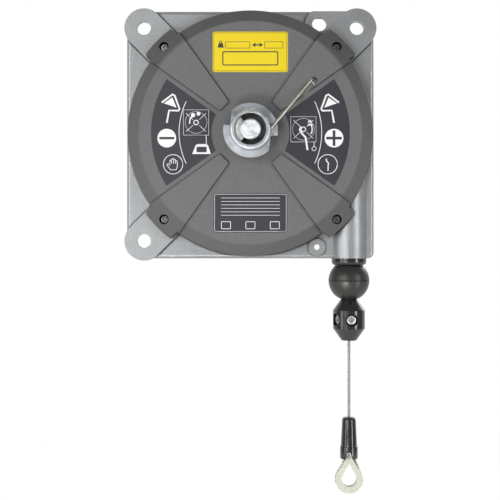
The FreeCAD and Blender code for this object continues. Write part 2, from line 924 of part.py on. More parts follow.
def groove_depth(i):
    """The depth of one groove. The middle one lies in line with the rope outlet."""
    return f"({TUBE_DEPTH} - ({i} - (groove_count - 1) / 2) * groove_pitch)"


def make_drum():
    """The conical drum: stepped rope grooves outside, the spring chamber inside."""
    body = new_body("rope_drum")
    count = round(size("groove_count"))
    seat = "(rope_radius + running_clearance)"
    taper = "groove_step / groove_pitch"
    nose = f"{groove_depth(0)} + groove_edge"
    flange_front = f"{groove_depth(count - 1)} - groove_edge"
    profile = [
        (HUB_BORE, WEB_FRONT),
        (HUB_BORE, f"{WEB_FRONT} - 2 * drum_web"),
        ("drum_hub_radius", f"{WEB_FRONT} - 2 * drum_web"),
        ("drum_hub_radius", f"{WEB_FRONT} - drum_web"),
        (CHAMBER, f"{WEB_FRONT} - drum_web"),
        (CHAMBER, DRUM_BACK),
        (DRUM_RIM, DRUM_BACK),
        (DRUM_RIM, f"{flange_front} - drum_flange - rope_radius / 2"),
        (DRUM_FLANGE, f"{flange_front} - drum_flange"),
        (DRUM_FLANGE, flange_front),
        (REAR_GROOVE, flange_front),
    ]
    for i in reversed(range(count)):
        radius, depth = groove_radius(i), groove_depth(i)
        floor = f"{radius} - {seat}"
        profile.append((f"{radius} + {seat} * {taper}", f"{depth} - {seat}"))
        profile.append((floor, depth))
        profile.append((f"{radius} - {seat} * {taper}", f"{depth} + {seat}"))
    profile.append((f"{groove_radius(0)} - {seat} * {taper}", nose))
    profile.append((f"{FRONT_GROOVE} - drum_nose_inset", WEB_FRONT))
    turned(body, "drum_profile", profile)
    stud_hole = new_sketch(body, "stud_hole", "YZ_Plane", f"{CHAMBER} - cut_past")
    add_circle(stud_hole, STUD_Y, "0", "stud_radius + running_clearance")
    extrude(body, "Pocket", stud_hole, "drum_rim_wall - rope_radius + cut_past", True)
    front_pocket(
        body,
        "plate_screw_holes",
        DRUM_BACK,
        f"{DRUM_PLATE_BACK} + drum_plate_screw_length + screw_hole_spare",
        lambda s: draw_ring_of_circles(s, "drum_plate_screw_radius + running_clearance"),
    )
    return body


def drum_plate_screw_places():
    """The places of the drum plate's screws, in the middle of its lap over the rim."""
    circle = f"({CHAMBER} + drum_plate_lap / 2)"
    for i in range(round(size("drum_plate_screw_count"))):
        angle = f"({i} * 360 / drum_plate_screw_count)"
        yield f"{circle} * cos({angle})", f"{circle} * sin({angle})"


def draw_ring_of_circles(sketch, radius):
    """One circle at each of the drum plate's screws."""
    for x, z in drum_plate_screw_places():
        add_circle(sketch, x, z, radius)


def make_drum_plate():
    """The plate that closes the spring chamber at the rear, held by screws."""
    body = new_body("drum_rear_plate")
    edge = f"{CHAMBER} + drum_plate_lap"
    turned(
        body,
        "drum_plate_profile",
        [
            (HUB_BORE, DRUM_PLATE_BACK),
            (edge, DRUM_PLATE_BACK),
            (edge, DRUM_BACK),
            ("drum_hub_radius", DRUM_BACK),
            ("drum_hub_radius", f"{DRUM_BACK} + drum_plate"),
            (HUB_BORE, f"{DRUM_BACK} + drum_plate"),
        ],
    )
    front_pocket(
        body,
        "plate_screw_passages",
        f"{DRUM_PLATE_BACK} - cut_past",
        f"{DRUM_BACK} + cut_past",
        lambda s: draw_ring_of_circles(s, "drum_plate_screw_radius + running_clearance"),
    )
    return body


def make_drum_plate_screws():
    for number, (x, z) in enumerate(drum_plate_screw_places(), start=1):
        body = new_body(f"drum_plate_screw_{number}", x, f"-({DRUM_PLATE_BACK})", z)
        head = "drum_plate_screw_head_radius"
        turned(
            body,
            "screw",
            [
                ("0", "-drum_plate_screw_radius"),
                (head, "-drum_plate_screw_radius"),
                (head, "0"),
                ("drum_plate_screw_radius", "0"),
                ("drum_plate_screw_radius", "drum_plate_screw_length"),
                ("0", "drum_plate_screw_length"),
            ],
        )


def make_rope_coil():
    """The rope wound on the drum, as the sleeve that its turns fill outside the grooves."""
    body = new_body("rope_coil")
    count = round(size("groove_count"))
    slope_front = f"{groove_depth(0)} + rope_radius"
    slope_back = f"{groove_depth(count - 1)} - rope_radius"
    lift = "rope_radius * groove_step / groove_pitch"
    front_radius = f"({groove_radius(0)} - {lift} + running_clearance)"
    back_radius = f"({groove_radius(count - 1)} + {lift} + running_clearance)"
    turned(
        body,
        "coil_profile",
        [
            (front_radius, slope_front),
            (back_radius, slope_back),
            (f"{back_radius} + rope_radius", slope_back),
            (f"{front_radius} + rope_radius", slope_front),
        ],
    )
    return body


def add_shape(label, shape, place=None):
    """A sub-part whose shape is worked out from the sheet in code."""
    feature = doc.addObject("Part::Feature", label)
    feature.Label = label
    feature.Shape = shape
    feature.Placement = place or Placement()
    return feature


def make_power_spring():
    """The flat spiral spring: half circles joined smoothly, swept to the strip's width."""
    halves = 2 * round(size("spring_turns"))
    inner, outer = size("spring_inner_radius"), amount(SPRING_OUTSIDE)
    thick = size("spring_thickness")
    step = (outer - thick - inner) / halves

    def side(offset, forward):
        edges, centre = [], 0.0
        for i in range(halves):
            radius = inner + i * step + offset
            sign = 1 if i % 2 == 0 else -1
            circle = Part.Circle(Vector(centre, 0, 0), Vector(0, 0, 1), radius)
            start = 0 if sign > 0 else math.pi
            edges.append(Part.ArcOfCircle(circle, start, start + math.pi).toShape())
            centre += sign * step
        return edges if forward else edges[::-1]

    near, far = side(0, True), side(thick, True)
    caps = []
    for at_start in (True, False):
        ends = []
        for edges in (near, far):
            edge = edges[0] if at_start else edges[-1]
            ends.append(edge.valueAt(edge.FirstParameter if at_start else edge.LastParameter))
        caps.append(Part.LineSegment(*ends).toShape())
    outline = Part.Wire(Part.__sortEdges__(near + far + caps))
    strip = Part.Face(outline).extrude(Vector(0, 0, amount(SPRING_WIDTH)))
    middle = (amount(DRUM_BACK) + amount(WEB_FRONT) - size("drum_web")) / 2
    place = Placement(
        Vector(0, -middle + amount(SPRING_WIDTH) / 2, 0), Rotation(Vector(1, 0, 0), 90)
    )
    return add_shape("power_spring", strip, place)


def make_spring_stud():
    """The stud in the drum's wall that the spring's outer end hooks on."""
    stud = doc.addObject("Part::Cylinder", "spring_stud")
    stud.Label = "spring_stud"
    drive(stud, "Radius", "stud_radius")
    drive(stud, "Height", f"{DRUM_RIM} - rope_radius - {SPRING_OUTSIDE}")
    stud.Placement = Placement(Vector(), Rotation(Vector(0, 1, 0), 90))
    drive(stud, "Placement.Base.x", SPRING_OUTSIDE)
    drive(stud, "Placement.Base.y", STUD_Y)
    return stud


ROPE_PLACE = {"x": TUBE_X, "y": f"-{TUBE_DEPTH}"}
GUIDE_BOTTOM = f"(-{HALF} - guide_flange_height)"
BALL_TOP = f"({GUIDE_BOTTOM} - seat_clearance)"
BALL_CENTRE = f"({BALL_TOP} - ball_top)"
CLAMP_TOP = f"({BALL_CENTRE} - ball_bottom)"
CLAMP_HEIGHT = "(clamp_upper_cone + clamp_barrel + clamp_lower_cone)"
CLAMP_BOTTOM = f"({CLAMP_TOP} - {CLAMP_HEIGHT})"
SLEEVE_TOP = f"({CLAMP_BOTTOM} - free_rope_length)"
ROPE_FIT = "(rope_radius + running_clearance)"
ROUNDING_MIDDLE = "(1 - sqrt(0.5))"


def make_rope_guide():
    """The guide bush pushed up into the rope tube, with a bell mouth at the top."""
    body = new_body("rope_guide", z=f"-{HALF}", **ROPE_PLACE)
    spigot = "tube_bore_radius - running_clearance"
    turned(
        body,
        "guide_profile",
        [
            ("guide_bore_radius", "-guide_flange_height"),
            ("guide_flange_radius - guide_flange_rounding", "-guide_flange_height"),
            (
                f"guide_flange_radius - guide_flange_rounding * {ROUNDING_MIDDLE}",
                f"-guide_flange_height + guide_flange_rounding * {ROUNDING_MIDDLE}",
            ),
            ("guide_flange_radius", "-guide_flange_height + guide_flange_rounding"),
            ("guide_flange_radius", "0"),
            (spigot, "0"),
            (spigot, "guide_length"),
            ("guide_mouth_radius", "guide_length"),
            ("guide_mouth_middle_radius", "guide_length - guide_mouth_middle_depth"),
            ("guide_bore_radius", "guide_length - guide_mouth_depth"),
        ],
        role="XZ_Plane",
    )
    return body


def make_buffer_ball():
    """The rubber ball that cushions the rope's end against the guide."""
    body = new_body("buffer_ball", z=BALL_CENTRE, **ROPE_PLACE)
    top = "sqrt(ball_radius^2 - ball_top^2)"
    bottom = "sqrt(ball_radius^2 - ball_bottom^2)"
    turned(
        body,
        "ball_profile",
        [
            (ROPE_FIT, "-ball_bottom"),
            (bottom, "-ball_bottom"),
            (top, "ball_top", "ball_radius"),
            (ROPE_FIT, "ball_top"),
        ],
        role="XZ_Plane",
    )
    return body


def make_rope_clamp():
    """The clamp body: a barrel between two cones, with recesses for its two screws."""
    body = new_body("rope_clamp", z=CLAMP_BOTTOM, **ROPE_PLACE)
    turned(
        body,
        "clamp_profile",
        [
            (ROPE_FIT, "0"),
            ("clamp_neck_radius", "0"),
            ("clamp_radius", "clamp_lower_cone"),
            ("clamp_radius", "clamp_lower_cone + clamp_barrel"),
            ("clamp_neck_radius", CLAMP_HEIGHT),
            (ROPE_FIT, CLAMP_HEIGHT),
        ],
        role="XZ_Plane",
    )
    for name, depth in (
        ("clamp_screw_recess", "clamp_screw_recess_depth"),
        ("clamp_screw_hole", "clamp_radius - rope_radius - running_clearance"),
    ):
        sketch = new_sketch(body, name, "XZ_Plane", "clamp_radius")
        radius = "clamp_screw_recess_radius"
        if name == "clamp_screw_hole":
            radius = "clamp_screw_radius + running_clearance"
        add_circle(sketch, "0", "clamp_lower_cone + clamp_barrel / 2", radius)
        cut = extrude(body, "Pocket", sketch, depth)
        pattern = body.newObject("PartDesign::PolarPattern", f"{name}_pair")
        pattern.Originals = [cut]
        pattern.Axis = (origin_item(body, "Z_Axis"), [""])
        pattern.Occurrences = 2
        pattern.Reversed = True
        drive(pattern, "Angle", "clamp_screw_angle")
        body.Tip = pattern
        doc.recompute()
    turn_upright(body, "clamp_turn")
    return body


def turn_upright(body, angle):
    """Turns a body about the upright axis through its place."""
    body.Placement = Placement(body.Placement.Base, Rotation(Vector(0, 0, 1), amount(angle)))
    drive(body, "Placement.Rotation.Axis.x", "0")
    drive(body, "Placement.Rotation.Axis.y", "0")
    drive(body, "Placement.Rotation.Axis.z", "1")
    drive(body, "Placement.Rotation.Angle", angle)


def make_clamp_screws():
    """Two socket screws whose cone points press on the rope."""
    seat = "clamp_radius - clamp_screw_recess_depth"
    head = f"{seat} + clamp_screw_head_height"
    turns = {"clamp_screw_front": "clamp_turn", "clamp_screw_side": "clamp_turn - clamp_screw_angle"}
    for label, turn in turns.items():
        height = f"{CLAMP_BOTTOM} + clamp_lower_cone + clamp_barrel / 2"
        body = new_body(label, z=height, **ROPE_PLACE)
        turn_upright(body, turn)
        turned(
            body,
            "screw",
            [
                ("0", ROPE_FIT),
                ("clamp_screw_tip_radius", ROPE_FIT),
                ("clamp_screw_radius", f"{ROPE_FIT} + clamp_screw_tip_length"),
                ("clamp_screw_radius", seat),
                ("clamp_screw_head_radius", seat),
                ("clamp_screw_head_radius", head),
                ("clamp_screw_socket_radius", head),
                ("clamp_screw_socket_radius", seat),
                ("0", seat),
            ],
        )


def make_rope_lengths():
    """The straight lengths of rope inside the ball and clamp, and below them."""
    spans = {
        "rope_in_clamp": (BALL_TOP, CLAMP_BOTTOM),
        "rope_free": (CLAMP_BOTTOM, SLEEVE_TOP),
        "rope_in_sleeve": (SLEEVE_TOP, f"({SLEEVE_TOP} - end_sleeve_cap)"),
    }
    for label, (top, bottom) in spans.items():
        rope = doc.addObject("Part::Cylinder", label)
        rope.Label = label
        drive(rope, "Radius", "rope_radius")
        drive(rope, "Height", f"{top} - {bottom}")
        drive(rope, "Placement.Base.x", TUBE_X)
        drive(rope, "Placement.Base.y", f"-{TUBE_DEPTH}")
        drive(rope, "Placement.Base.z", bottom)


def rounded_wire(points, radii):
    """Straight runs joined by tangent arcs."""
    edges, last = [], points[0]
    for before, corner, after, radius in zip(points, points[1:], points[2:], radii):
        a, b = (before - corner).normalize(), (after - corner).normalize()
        turn = math.pi - a.getAngle(b)
        cut = radius * math.tan(turn / 2)
        start, end = corner + a * cut, corner + b * cut
        inward = (a + b).normalize()
        centre = corner + inward * (radius / math.cos(turn / 2))
        edges.append(Part.LineSegment(last, start).toShape())
        edges.append(Part.Arc(start, centre - inward * radius, end).toShape())
        last = end
    edges.append(Part.LineSegment(last, points[-1]).toShape())
    return Part.Wire(edges)


def tube_along(path, radius):
    """A round bar swept along a smooth path."""
    first = path.OrderedEdges[0]
    heading = first.tangentAt(first.FirstParameter)
    section = Part.Wire(
        Part.Circle(path.OrderedVertexes[0].Point, heading, radius).toShape()
    )
    return path.makePipeShell([section], True, True)


def make_rope_run():
    """The rope from the drum's front groove to the guide, tight between them."""
    front = amount(groove_radius(0))
    clear = amount("rope_radius * 2 + seat_clearance * 2")
    along = math.sqrt((front + clear) ** 2 - front**2)
    mouth_x, mouth_y = amount(TUBE_X), -amount(TUBE_DEPTH)
    mouth_z = amount(f"guide_length - {HALF}")
    start_y = -amount(groove_depth(0))
    reach = math.hypot(mouth_x, mouth_z)
    lean = math.atan2(mouth_z, mouth_x) + math.acos(front / reach)
    touch = Vector(front * math.cos(lean), start_y, front * math.sin(lean))
    mouth = Vector(mouth_x, mouth_y, mouth_z)
    heading = Vector(mouth.x - touch.x, 0, mouth.z - touch.z).normalize()
    start = touch + heading * along
    bottom = Vector(mouth_x, mouth_y, amount(GUIDE_BOTTOM))
    path = rounded_wire([start, mouth, bottom], [size("rope_bend_radius")])
    return add_shape("rope_run", tube_along(path, size("rope_radius")))


def draw_teardrop(sketch, apex, base, radius):
    """A teardrop: a circle whose lowest point is at base, with two tangents to the apex."""
    centre = f"({base} + {radius})"
    reach = f"({apex} - {centre})"
    x = f"{radius} * sqrt(1 - ({radius} / {reach})^2)"
    z = f"{centre} + {radius}^2 / {reach}"
    add_outline(
        sketch,
        [
            ("0", apex),
            (f"-{x}", z),
            ("0", base, radius),
            (x, z, radius),
        ],
    )


THIMBLE_BASE = f"({SLEEVE_TOP} - thimble_apex - thimble_height)"
FERRULE_BASE = f"({SLEEVE_TOP} - end_sleeve_cap - ferrule_length)"


def make_thimble():
    """The nylon thimble: a teardrop ring with a groove round it for the rope."""
    body = new_body("thimble", z=THIMBLE_BASE, **ROPE_PLACE)
    inset = "(thimble_radius - thimble_core_radius)"
    core_apex = "thimble_height - thimble_core_drop"

    def draw_flange(sketch):
        draw_teardrop(sketch, "thimble_height", "0", "thimble_radius")

    def draw_core(sketch):
        draw_teardrop(sketch, core_apex, inset, "thimble_core_radius")

    def draw_eye(sketch):
        eye_top = "thimble_eye_base + thimble_eye_length"
        draw_teardrop(sketch, eye_top, "thimble_eye_base", "thimble_eye_radius")

    back, front = "-thimble_width / 2", "thimble_width / 2"
    front_pad(body, "rear_flange", back, f"{back} + thimble_flange", draw_flange)
    front_pad(body, "core", f"{back} + thimble_flange", f"{front} - thimble_flange", draw_core)
    front_pad(body, "front_flange", f"{front} - thimble_flange", front, draw_flange)
    front_pocket(body, "eye", f"{back} - cut_past", f"{front} + cut_past", draw_eye)
    return body


def make_end_sleeve():
    """The black sleeve over the crimp, open below for the rope eye and notched over the thimble."""
    body = new_body("end_sleeve", z=f"{SLEEVE_TOP} - end_sleeve_length", **ROPE_PLACE)
    cap = "end_sleeve_length - end_sleeve_cap"
    cavity = f"{cap} - ferrule_length"
    bore = "ferrule_radius + running_clearance"
    mouth = "end_sleeve_radius - end_sleeve_wall"
    turned(
        body,
        "sleeve_profile",
        [
            (mouth, "0"),
            ("end_sleeve_radius", "0"),
            ("end_sleeve_radius", "end_sleeve_radius"),
            ("end_sleeve_top_radius", "end_sleeve_length - end_sleeve_rounding"),
            (
                f"end_sleeve_top_radius - end_sleeve_rounding * {ROUNDING_MIDDLE}",
                f"end_sleeve_length - end_sleeve_rounding * {ROUNDING_MIDDLE}",
            ),
            ("end_sleeve_top_radius - end_sleeve_rounding", "end_sleeve_length"),
            (ROPE_FIT, "end_sleeve_length"),
            (ROPE_FIT, cap),
            (bore, cap),
            (bore, cavity),
            (mouth, f"{cavity} - end_sleeve_taper"),
        ],
        role="XZ_Plane",
    )

    def draw_notch(sketch):
        half = "(end_sleeve_notch_width / 2)"
        below = "-cut_past"
        add_outline(sketch, [(f"-{half}", below), (half, below), ("0", "end_sleeve_notch")])

    reach = "(end_sleeve_radius + cut_past)"
    front_pocket(body, "notch", f"-{reach}", reach, draw_notch)
    return body


def make_ferrule():
    """The crimped ferrule that closes the rope eye, inside the end sleeve."""
    ferrule = doc.addObject("Part::Cylinder", "end_ferrule")
    ferrule.Label = "end_ferrule"
    drive(ferrule, "Radius", "ferrule_radius")
    drive(ferrule, "Height", "ferrule_length")
    drive(ferrule, "Placement.Base.x", TUBE_X)
    drive(ferrule, "Placement.Base.y", f"-{TUBE_DEPTH}")
    drive(ferrule, "Placement.Base.z", FERRULE_BASE)
    return ferrule


def make_rope_eye():
    """The rope's loop round the thimble, from one side of the ferrule to the other."""
    radius = size("thimble_core_radius") + size("rope_radius") + size("running_clearance")
    inset = size("thimble_radius") - size("thimble_core_radius")
    base = amount(THIMBLE_BASE)
    centre = base + inset + size("thimble_core_radius")
    top = amount(FERRULE_BASE)
    apart = size("rope_radius") + size("running_clearance")
    apex = base + size("thimble_height") - size("thimble_core_drop") + size("rope_eye_rise")
    lean = math.acos(radius / (apex - centre))
    touch = Vector(radius * math.sin(lean), 0, centre + radius * math.cos(lean))
    slope = Vector(-touch.x, 0, apex - touch.z).normalize()
    bend = touch + slope * ((touch.x - apart) / -slope.x)
    legs = [Vector(apart, 0, top), bend, touch]
    right = rounded_wire(legs, [size("rope_eye_bend_radius")])
    bottom = Part.Arc(
        touch, Vector(0, 0, centre - radius), Vector(-touch.x, 0, touch.z)
    ).toShape()
    left = right.mirror(Vector(), Vector(1, 0, 0))
    path = Part.Wire(Part.__sortEdges__(right.Edges + [bottom] + left.Edges))
    place = Placement(Vector(amount(TUBE_X), -amount(TUBE_DEPTH), 0), Rotation())
    return add_shape("rope_eye", tube_along(path, size("rope_radius")), place)


def make_wire_lock():
    """The bent wire that keeps the ratchet ring: a tail, a loop round its pin and a long leg."""
    loop, length = size("wire_loop_radius"), size("wire_leg")
    rise = amount(WIRE_TIP_DEPTH) - amount(WIRE_PIN_DEPTH)
    slope = math.asin(rise / math.hypot(length, loop)) - math.atan2(loop, length)
    leg = Vector(-math.cos(slope), -math.sin(slope), 0)
    out = Vector(-math.sin(slope), math.cos(slope), 0)
    low, top = Vector(0, loop, 0), out * -loop
    side = Vector(loop, 0, 0)
    edges = [
        Part.LineSegment(Vector(-size("wire_tail"), loop, 0), low).toShape(),
        Part.Arc(low, side, top).toShape(),
        Part.LineSegment(top, top + leg * length).toShape(),
    ]
    bar = tube_along(Part.Wire(edges), size("wire_radius"))
    place = Placement(
        Vector(size("wire_pin_x"), -amount(WIRE_PIN_DEPTH), size("wire_pin_z")),
        Rotation(Vector(0, 1, 0), -size("wire_angle")),
    )
    return add_shape("wire_lock", bar, place)


def make_lock_pin():
    """The pin that the wire lock swings on, lying across the slot."""
    pin = doc.addObject("Part::Cylinder", "lock_pin")
    pin.Label = "lock_pin"
    drive(pin, "Radius", "wire_pin_radius")
    drive(pin, "Height", "wire_pin_length")
    angle, half = math.radians(size("wire_angle")), size("wire_pin_length") / 2
    across = Vector(-math.sin(angle), 0, math.cos(angle))
    start = Vector(size("wire_pin_x"), -amount(WIRE_PIN_DEPTH), size("wire_pin_z")) - across * half
    pin.Placement = Placement(start, Rotation(Vector(0, 0, 1), across))
    return pin


def make_all():
    make_housing()
    make_cover()
    make_cover_screws()
    make_axle()
    make_washer("rear_thrust_washer", AXLE_FIT, "sleeve_radius", INNER_BOSS, SLEEVE_BACK)
    make_flanged_bush(
        "cover_hub_bush", COVER_INSIDE, f"{HUB_FACE} + bush_flange", True
    )
    make_sleeve()
    make_ratchet_ring()
    make_drum()
    make_drum_plate()
    make_drum_plate_screws()
    make_washer(
        "drum_front_bush",
        SLEEVE_FIT,
        f"{HUB_BORE} - running_clearance",
        f"{WEB_FRONT} - 2 * drum_web",
        WEB_FRONT,
    )
    make_washer(
        "drum_rear_bush",
        SLEEVE_FIT,
        f"{HUB_BORE} - running_clearance",
        DRUM_PLATE_BACK,
        f"{DRUM_BACK} + drum_plate",
    )
    make_rope_coil()
    make_power_spring()
    make_spring_stud()
    make_rope_run()
    make_rope_guide()
    make_buffer_ball()
    make_rope_clamp()
    make_clamp_screws()
    make_rope_lengths()
    make_end_sleeve()
    make_ferrule()
    make_thimble()
    make_rope_eye()
    make_wire_lock()
    make_lock_pin()
    doc.recompute()


def sub_parts():
    """The bodies and other top-level solids, each of which is one sub-part."""
    for item in doc.Objects:
        inside = any(parent.isDerivedFrom("PartDesign::Body") for parent in item.InList)
        if item.isDerivedFrom("PartDesign::Body") or (
            item.isDerivedFrom("Part::Feature")
            and not item.isDerivedFrom("PartDesign::Feature")
            and not item.isDerivedFrom("Sketcher::SketchObject")
            and not inside
        ):
            yield item


def write_parts():
    """Checks every object and every shape, then writes one file for each sub-part."""
    for item in doc.Objects:
        if "Invalid" in item.State or "Error" in item.State:
            raise RuntimeError(f"{item.Name} failed: {item.State}")
    parts = list(sub_parts())
    for item in parts:
        if item.Shape.isNull() or not item.Shape.isValid() or not item.Shape.Solids:
            raise RuntimeError(f"{item.Label} has no sound shape")
    os.makedirs("parts", exist_ok=True)
    for item in parts:
        item.Shape.exportStep(f"parts/{item.Label}.step")
    print(f"{len(parts)} parts written")


make_all()
write_parts()
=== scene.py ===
# %% [markdown]
# A spring balancer for a workshop: a grey casting with a round plastic cover, a plated ratchet ring
# in the middle, and a wire rope that hangs down with a rubber ball, a clamp and a nylon thimble.
# The rigid parts arrive as a fixed frame. This lesson gives them their finish and adds what only
# a picture needs: the stranded rope, the printed signs and the softer moulded pieces.

# %% Load the frame
import json
import math

import bpy
from mathutils import Matrix, Vector


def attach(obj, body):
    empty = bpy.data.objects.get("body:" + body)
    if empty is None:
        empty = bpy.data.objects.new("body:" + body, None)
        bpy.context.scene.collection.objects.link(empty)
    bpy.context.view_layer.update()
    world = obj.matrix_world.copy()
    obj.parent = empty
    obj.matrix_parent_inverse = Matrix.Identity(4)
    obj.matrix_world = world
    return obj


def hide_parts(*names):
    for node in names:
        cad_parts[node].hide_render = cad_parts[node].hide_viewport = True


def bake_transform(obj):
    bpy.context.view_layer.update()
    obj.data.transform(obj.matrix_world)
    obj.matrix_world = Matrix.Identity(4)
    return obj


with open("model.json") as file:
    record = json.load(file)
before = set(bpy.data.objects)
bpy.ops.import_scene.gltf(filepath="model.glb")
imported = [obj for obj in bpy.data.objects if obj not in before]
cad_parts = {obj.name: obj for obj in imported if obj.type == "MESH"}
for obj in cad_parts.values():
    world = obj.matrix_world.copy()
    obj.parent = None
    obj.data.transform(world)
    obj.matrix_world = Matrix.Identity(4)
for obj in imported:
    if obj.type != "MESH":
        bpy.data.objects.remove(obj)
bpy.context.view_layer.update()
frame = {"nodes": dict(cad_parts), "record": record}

MM = 0.001
NODES = frame["nodes"]
print("nodes:", len(NODES))

# %% [markdown]
# The photograph is a product shot taken straight on, from about a metre away. A long lens at that
# distance gives the small parallax between the lugs and the ring in front of them. The camera looks
# along +Y, level, and stands a little below the drum's axis so that the rope's end is in the picture.

# %% Camera
LUG_PLANE = -55 * MM
CAMERA_DISTANCE = 1.0
CAMERA_X = -0.4 * MM
CAMERA_Z = -115.55 * MM
SENSOR = 36.0
PICTURE_WIDTH = 0.5

camera_data = bpy.data.cameras.new("camera")
camera_data.sensor_width = SENSOR
camera_data.lens = SENSOR * CAMERA_DISTANCE / PICTURE_WIDTH
camera = bpy.data.objects.new("camera", camera_data)
camera.location = (CAMERA_X, LUG_PLANE - CAMERA_DISTANCE, CAMERA_Z)
camera.rotation_euler = (math.pi / 2, 0, 0)
bpy.context.scene.collection.objects.link(camera)
bpy.context.scene.camera = camera
bpy.context.scene.view_settings.view_transform = "Standard"
print("lens:", camera_data.lens)

# %% [markdown]
# The rope is a steel strand rope of 3 mm. Below the clamp it hangs straight down to its end sleeve,
# pulled taut by the sleeve and thimble. Its line is one NURBS curve, and six strands wind round that
# line, which shows at this size as a fine twist. Every strand is a thin tube, and a core fills the
# middle. The curve is read back as points, so the strands follow exactly the line that hangs.

# %% The rope's line
ROPE_DIAMETER = 3 * MM
ROPE_X = 99.8 * MM
ROPE_Y = -42 * MM
ROPE_ROUTE = [
    (ROPE_X, ROPE_Y, -206.9 * MM),
    (ROPE_X, ROPE_Y, -240.0 * MM),
    (ROPE_X, ROPE_Y, -275.0 * MM),
    (ROPE_X, ROPE_Y, -310.8 * MM),
]


def nurbs_line(name, points):
    """A smooth curve object with the points as its control points."""
    data = bpy.data.curves.new(name, "CURVE")
    data.dimensions = "3D"
    spline = data.splines.new("NURBS")
    spline.points.add(len(points) - 1)
    for point, place in zip(spline.points, points):
        point.co = (*place, 1)
    spline.order_u = 3
    spline.use_endpoint_u = True
    spline.resolution_u = 24
    line = bpy.data.objects.new(name, data)
    bpy.context.scene.collection.objects.link(line)
    return line


def points_of(line):
    """The points of a curve that has no bevel, in order, and the curve's length."""
    bpy.context.view_layer.update()
    graph = bpy.context.evaluated_depsgraph_get()
    mesh = bpy.data.meshes.new_from_object(line.evaluated_get(graph))
    points = [vertex.co.copy() for vertex in mesh.vertices]
    bpy.data.meshes.remove(mesh)
    length = sum((b - a).length for a, b in zip(points, points[1:]))
    return points, length


hang_line = nurbs_line("rope_line", ROPE_ROUTE)
hang_points, hang_length = points_of(hang_line)
print("rope:", len(hang_points), "points,", round(hang_length / MM, 1), "mm")

# %% [markdown]
# A strand is a curve that circles the line at a fixed pitch. It gets a round bevel and is converted
# to a mesh, and the strands and core are joined into one object. The same helper makes the short
# piece between the guide and the ball, which has to stay joined when the rope is pulled out.

# %% Strands
STRAND_COUNT = 6
STRAND_RADIUS = ROPE_DIAMETER / 6.2
LAY_LENGTH = 18 * MM


def pick(*pieces):
    """Selects these pieces and nothing else, and makes the first of them active."""
    bpy.ops.object.select_all(action="DESELECT")
    for piece in pieces:
        piece.select_set(True)
    bpy.context.view_layer.objects.active = pieces[0]


def tube(name, points, radius, sides=2):
    """A round tube along points, as a mesh."""
    data = bpy.data.curves.new(name, "CURVE")
    data.dimensions = "3D"
    data.bevel_depth = radius
    data.bevel_resolution = sides
    data.use_fill_caps = True
    spline = data.splines.new("POLY")
    spline.points.add(len(points) - 1)
    for point, place in zip(spline.points, points):
        point.co = (*place, 1)
    made = bpy.data.objects.new(name, data)
    bpy.context.scene.collection.objects.link(made)
    pick(made)
    bpy.ops.object.convert(target="MESH")
    return bpy.context.object


def joined(name, pieces):
    """Several mesh objects as one."""
    pick(*pieces)
    bpy.ops.object.join()
    whole = bpy.context.object
    whole.name = name
    whole.data.name = name
    return whole


def smooth(piece, angle):
    """Shades a piece smooth, apart from edges sharper than the angle."""
    pick(piece)
    bpy.ops.object.shade_smooth_by_angle(angle=math.radians(angle))
    return piece


def dense(points, step):
    """Points along a line, no further apart than the step."""
    places = [points[0]]
    for a, b in zip(points, points[1:]):
        parts = max(1, math.ceil((b - a).length / step))
        places += [a.lerp(b, (i + 1) / parts) for i in range(parts)]
    return places


def stranded(name, points):
    """A rope of six strands and a core that follows a line of points."""
    places = dense(points, LAY_LENGTH / 16)
    offset = ROPE_DIAMETER / 2 - STRAND_RADIUS
    pieces = [tube(f"{name}_core", places, STRAND_RADIUS * 1.05)]
    for strand in range(STRAND_COUNT):
        travelled = 0.0
        wound = []
        for i, place in enumerate(places):
            ahead = places[min(i + 1, len(places) - 1)] - places[max(i - 1, 0)]
            along = ahead.normalized()
            side = along.cross(Vector((0, 1, 0))).normalized()
            other = along.cross(side)
            if i:
                travelled += (place - places[i - 1]).length
            turn = 2 * math.pi * (travelled / LAY_LENGTH + strand / STRAND_COUNT)
            wound.append(place + (side * math.cos(turn) + other * math.sin(turn)) * offset)
        pieces.append(tube(f"{name}_{strand}", wound, STRAND_RADIUS))
    return smooth(joined(name, pieces), 60)


hanging_rope = stranded("hanging_rope", hang_points)
bpy.data.objects.remove(hang_line)
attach(hanging_rope, "rope_end")
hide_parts("rope_free", "rope_in_sleeve")
print("hanging rope:", len(hanging_rope.data.polygons), "faces")

# %% Rope between guide and ball
GUIDE_TOP = -108 * MM
BALL_INSIDE = -150 * MM

mouth = [Vector((ROPE_X, ROPE_Y, z)) for z in (GUIDE_TOP, BALL_INSIDE)]
outlet_rope = stranded("outlet_rope", mouth)
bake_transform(outlet_rope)
print("outlet rope:", len(outlet_rope.data.polygons), "faces")

# %% [markdown]
# Shader maths reads best as plain arithmetic. A small class wraps a socket, so that an expression
# such as 1 - mask * 0.5 adds its own Math nodes. A second class adds every other kind of node to a
# tree, and a third builds on it for one material.


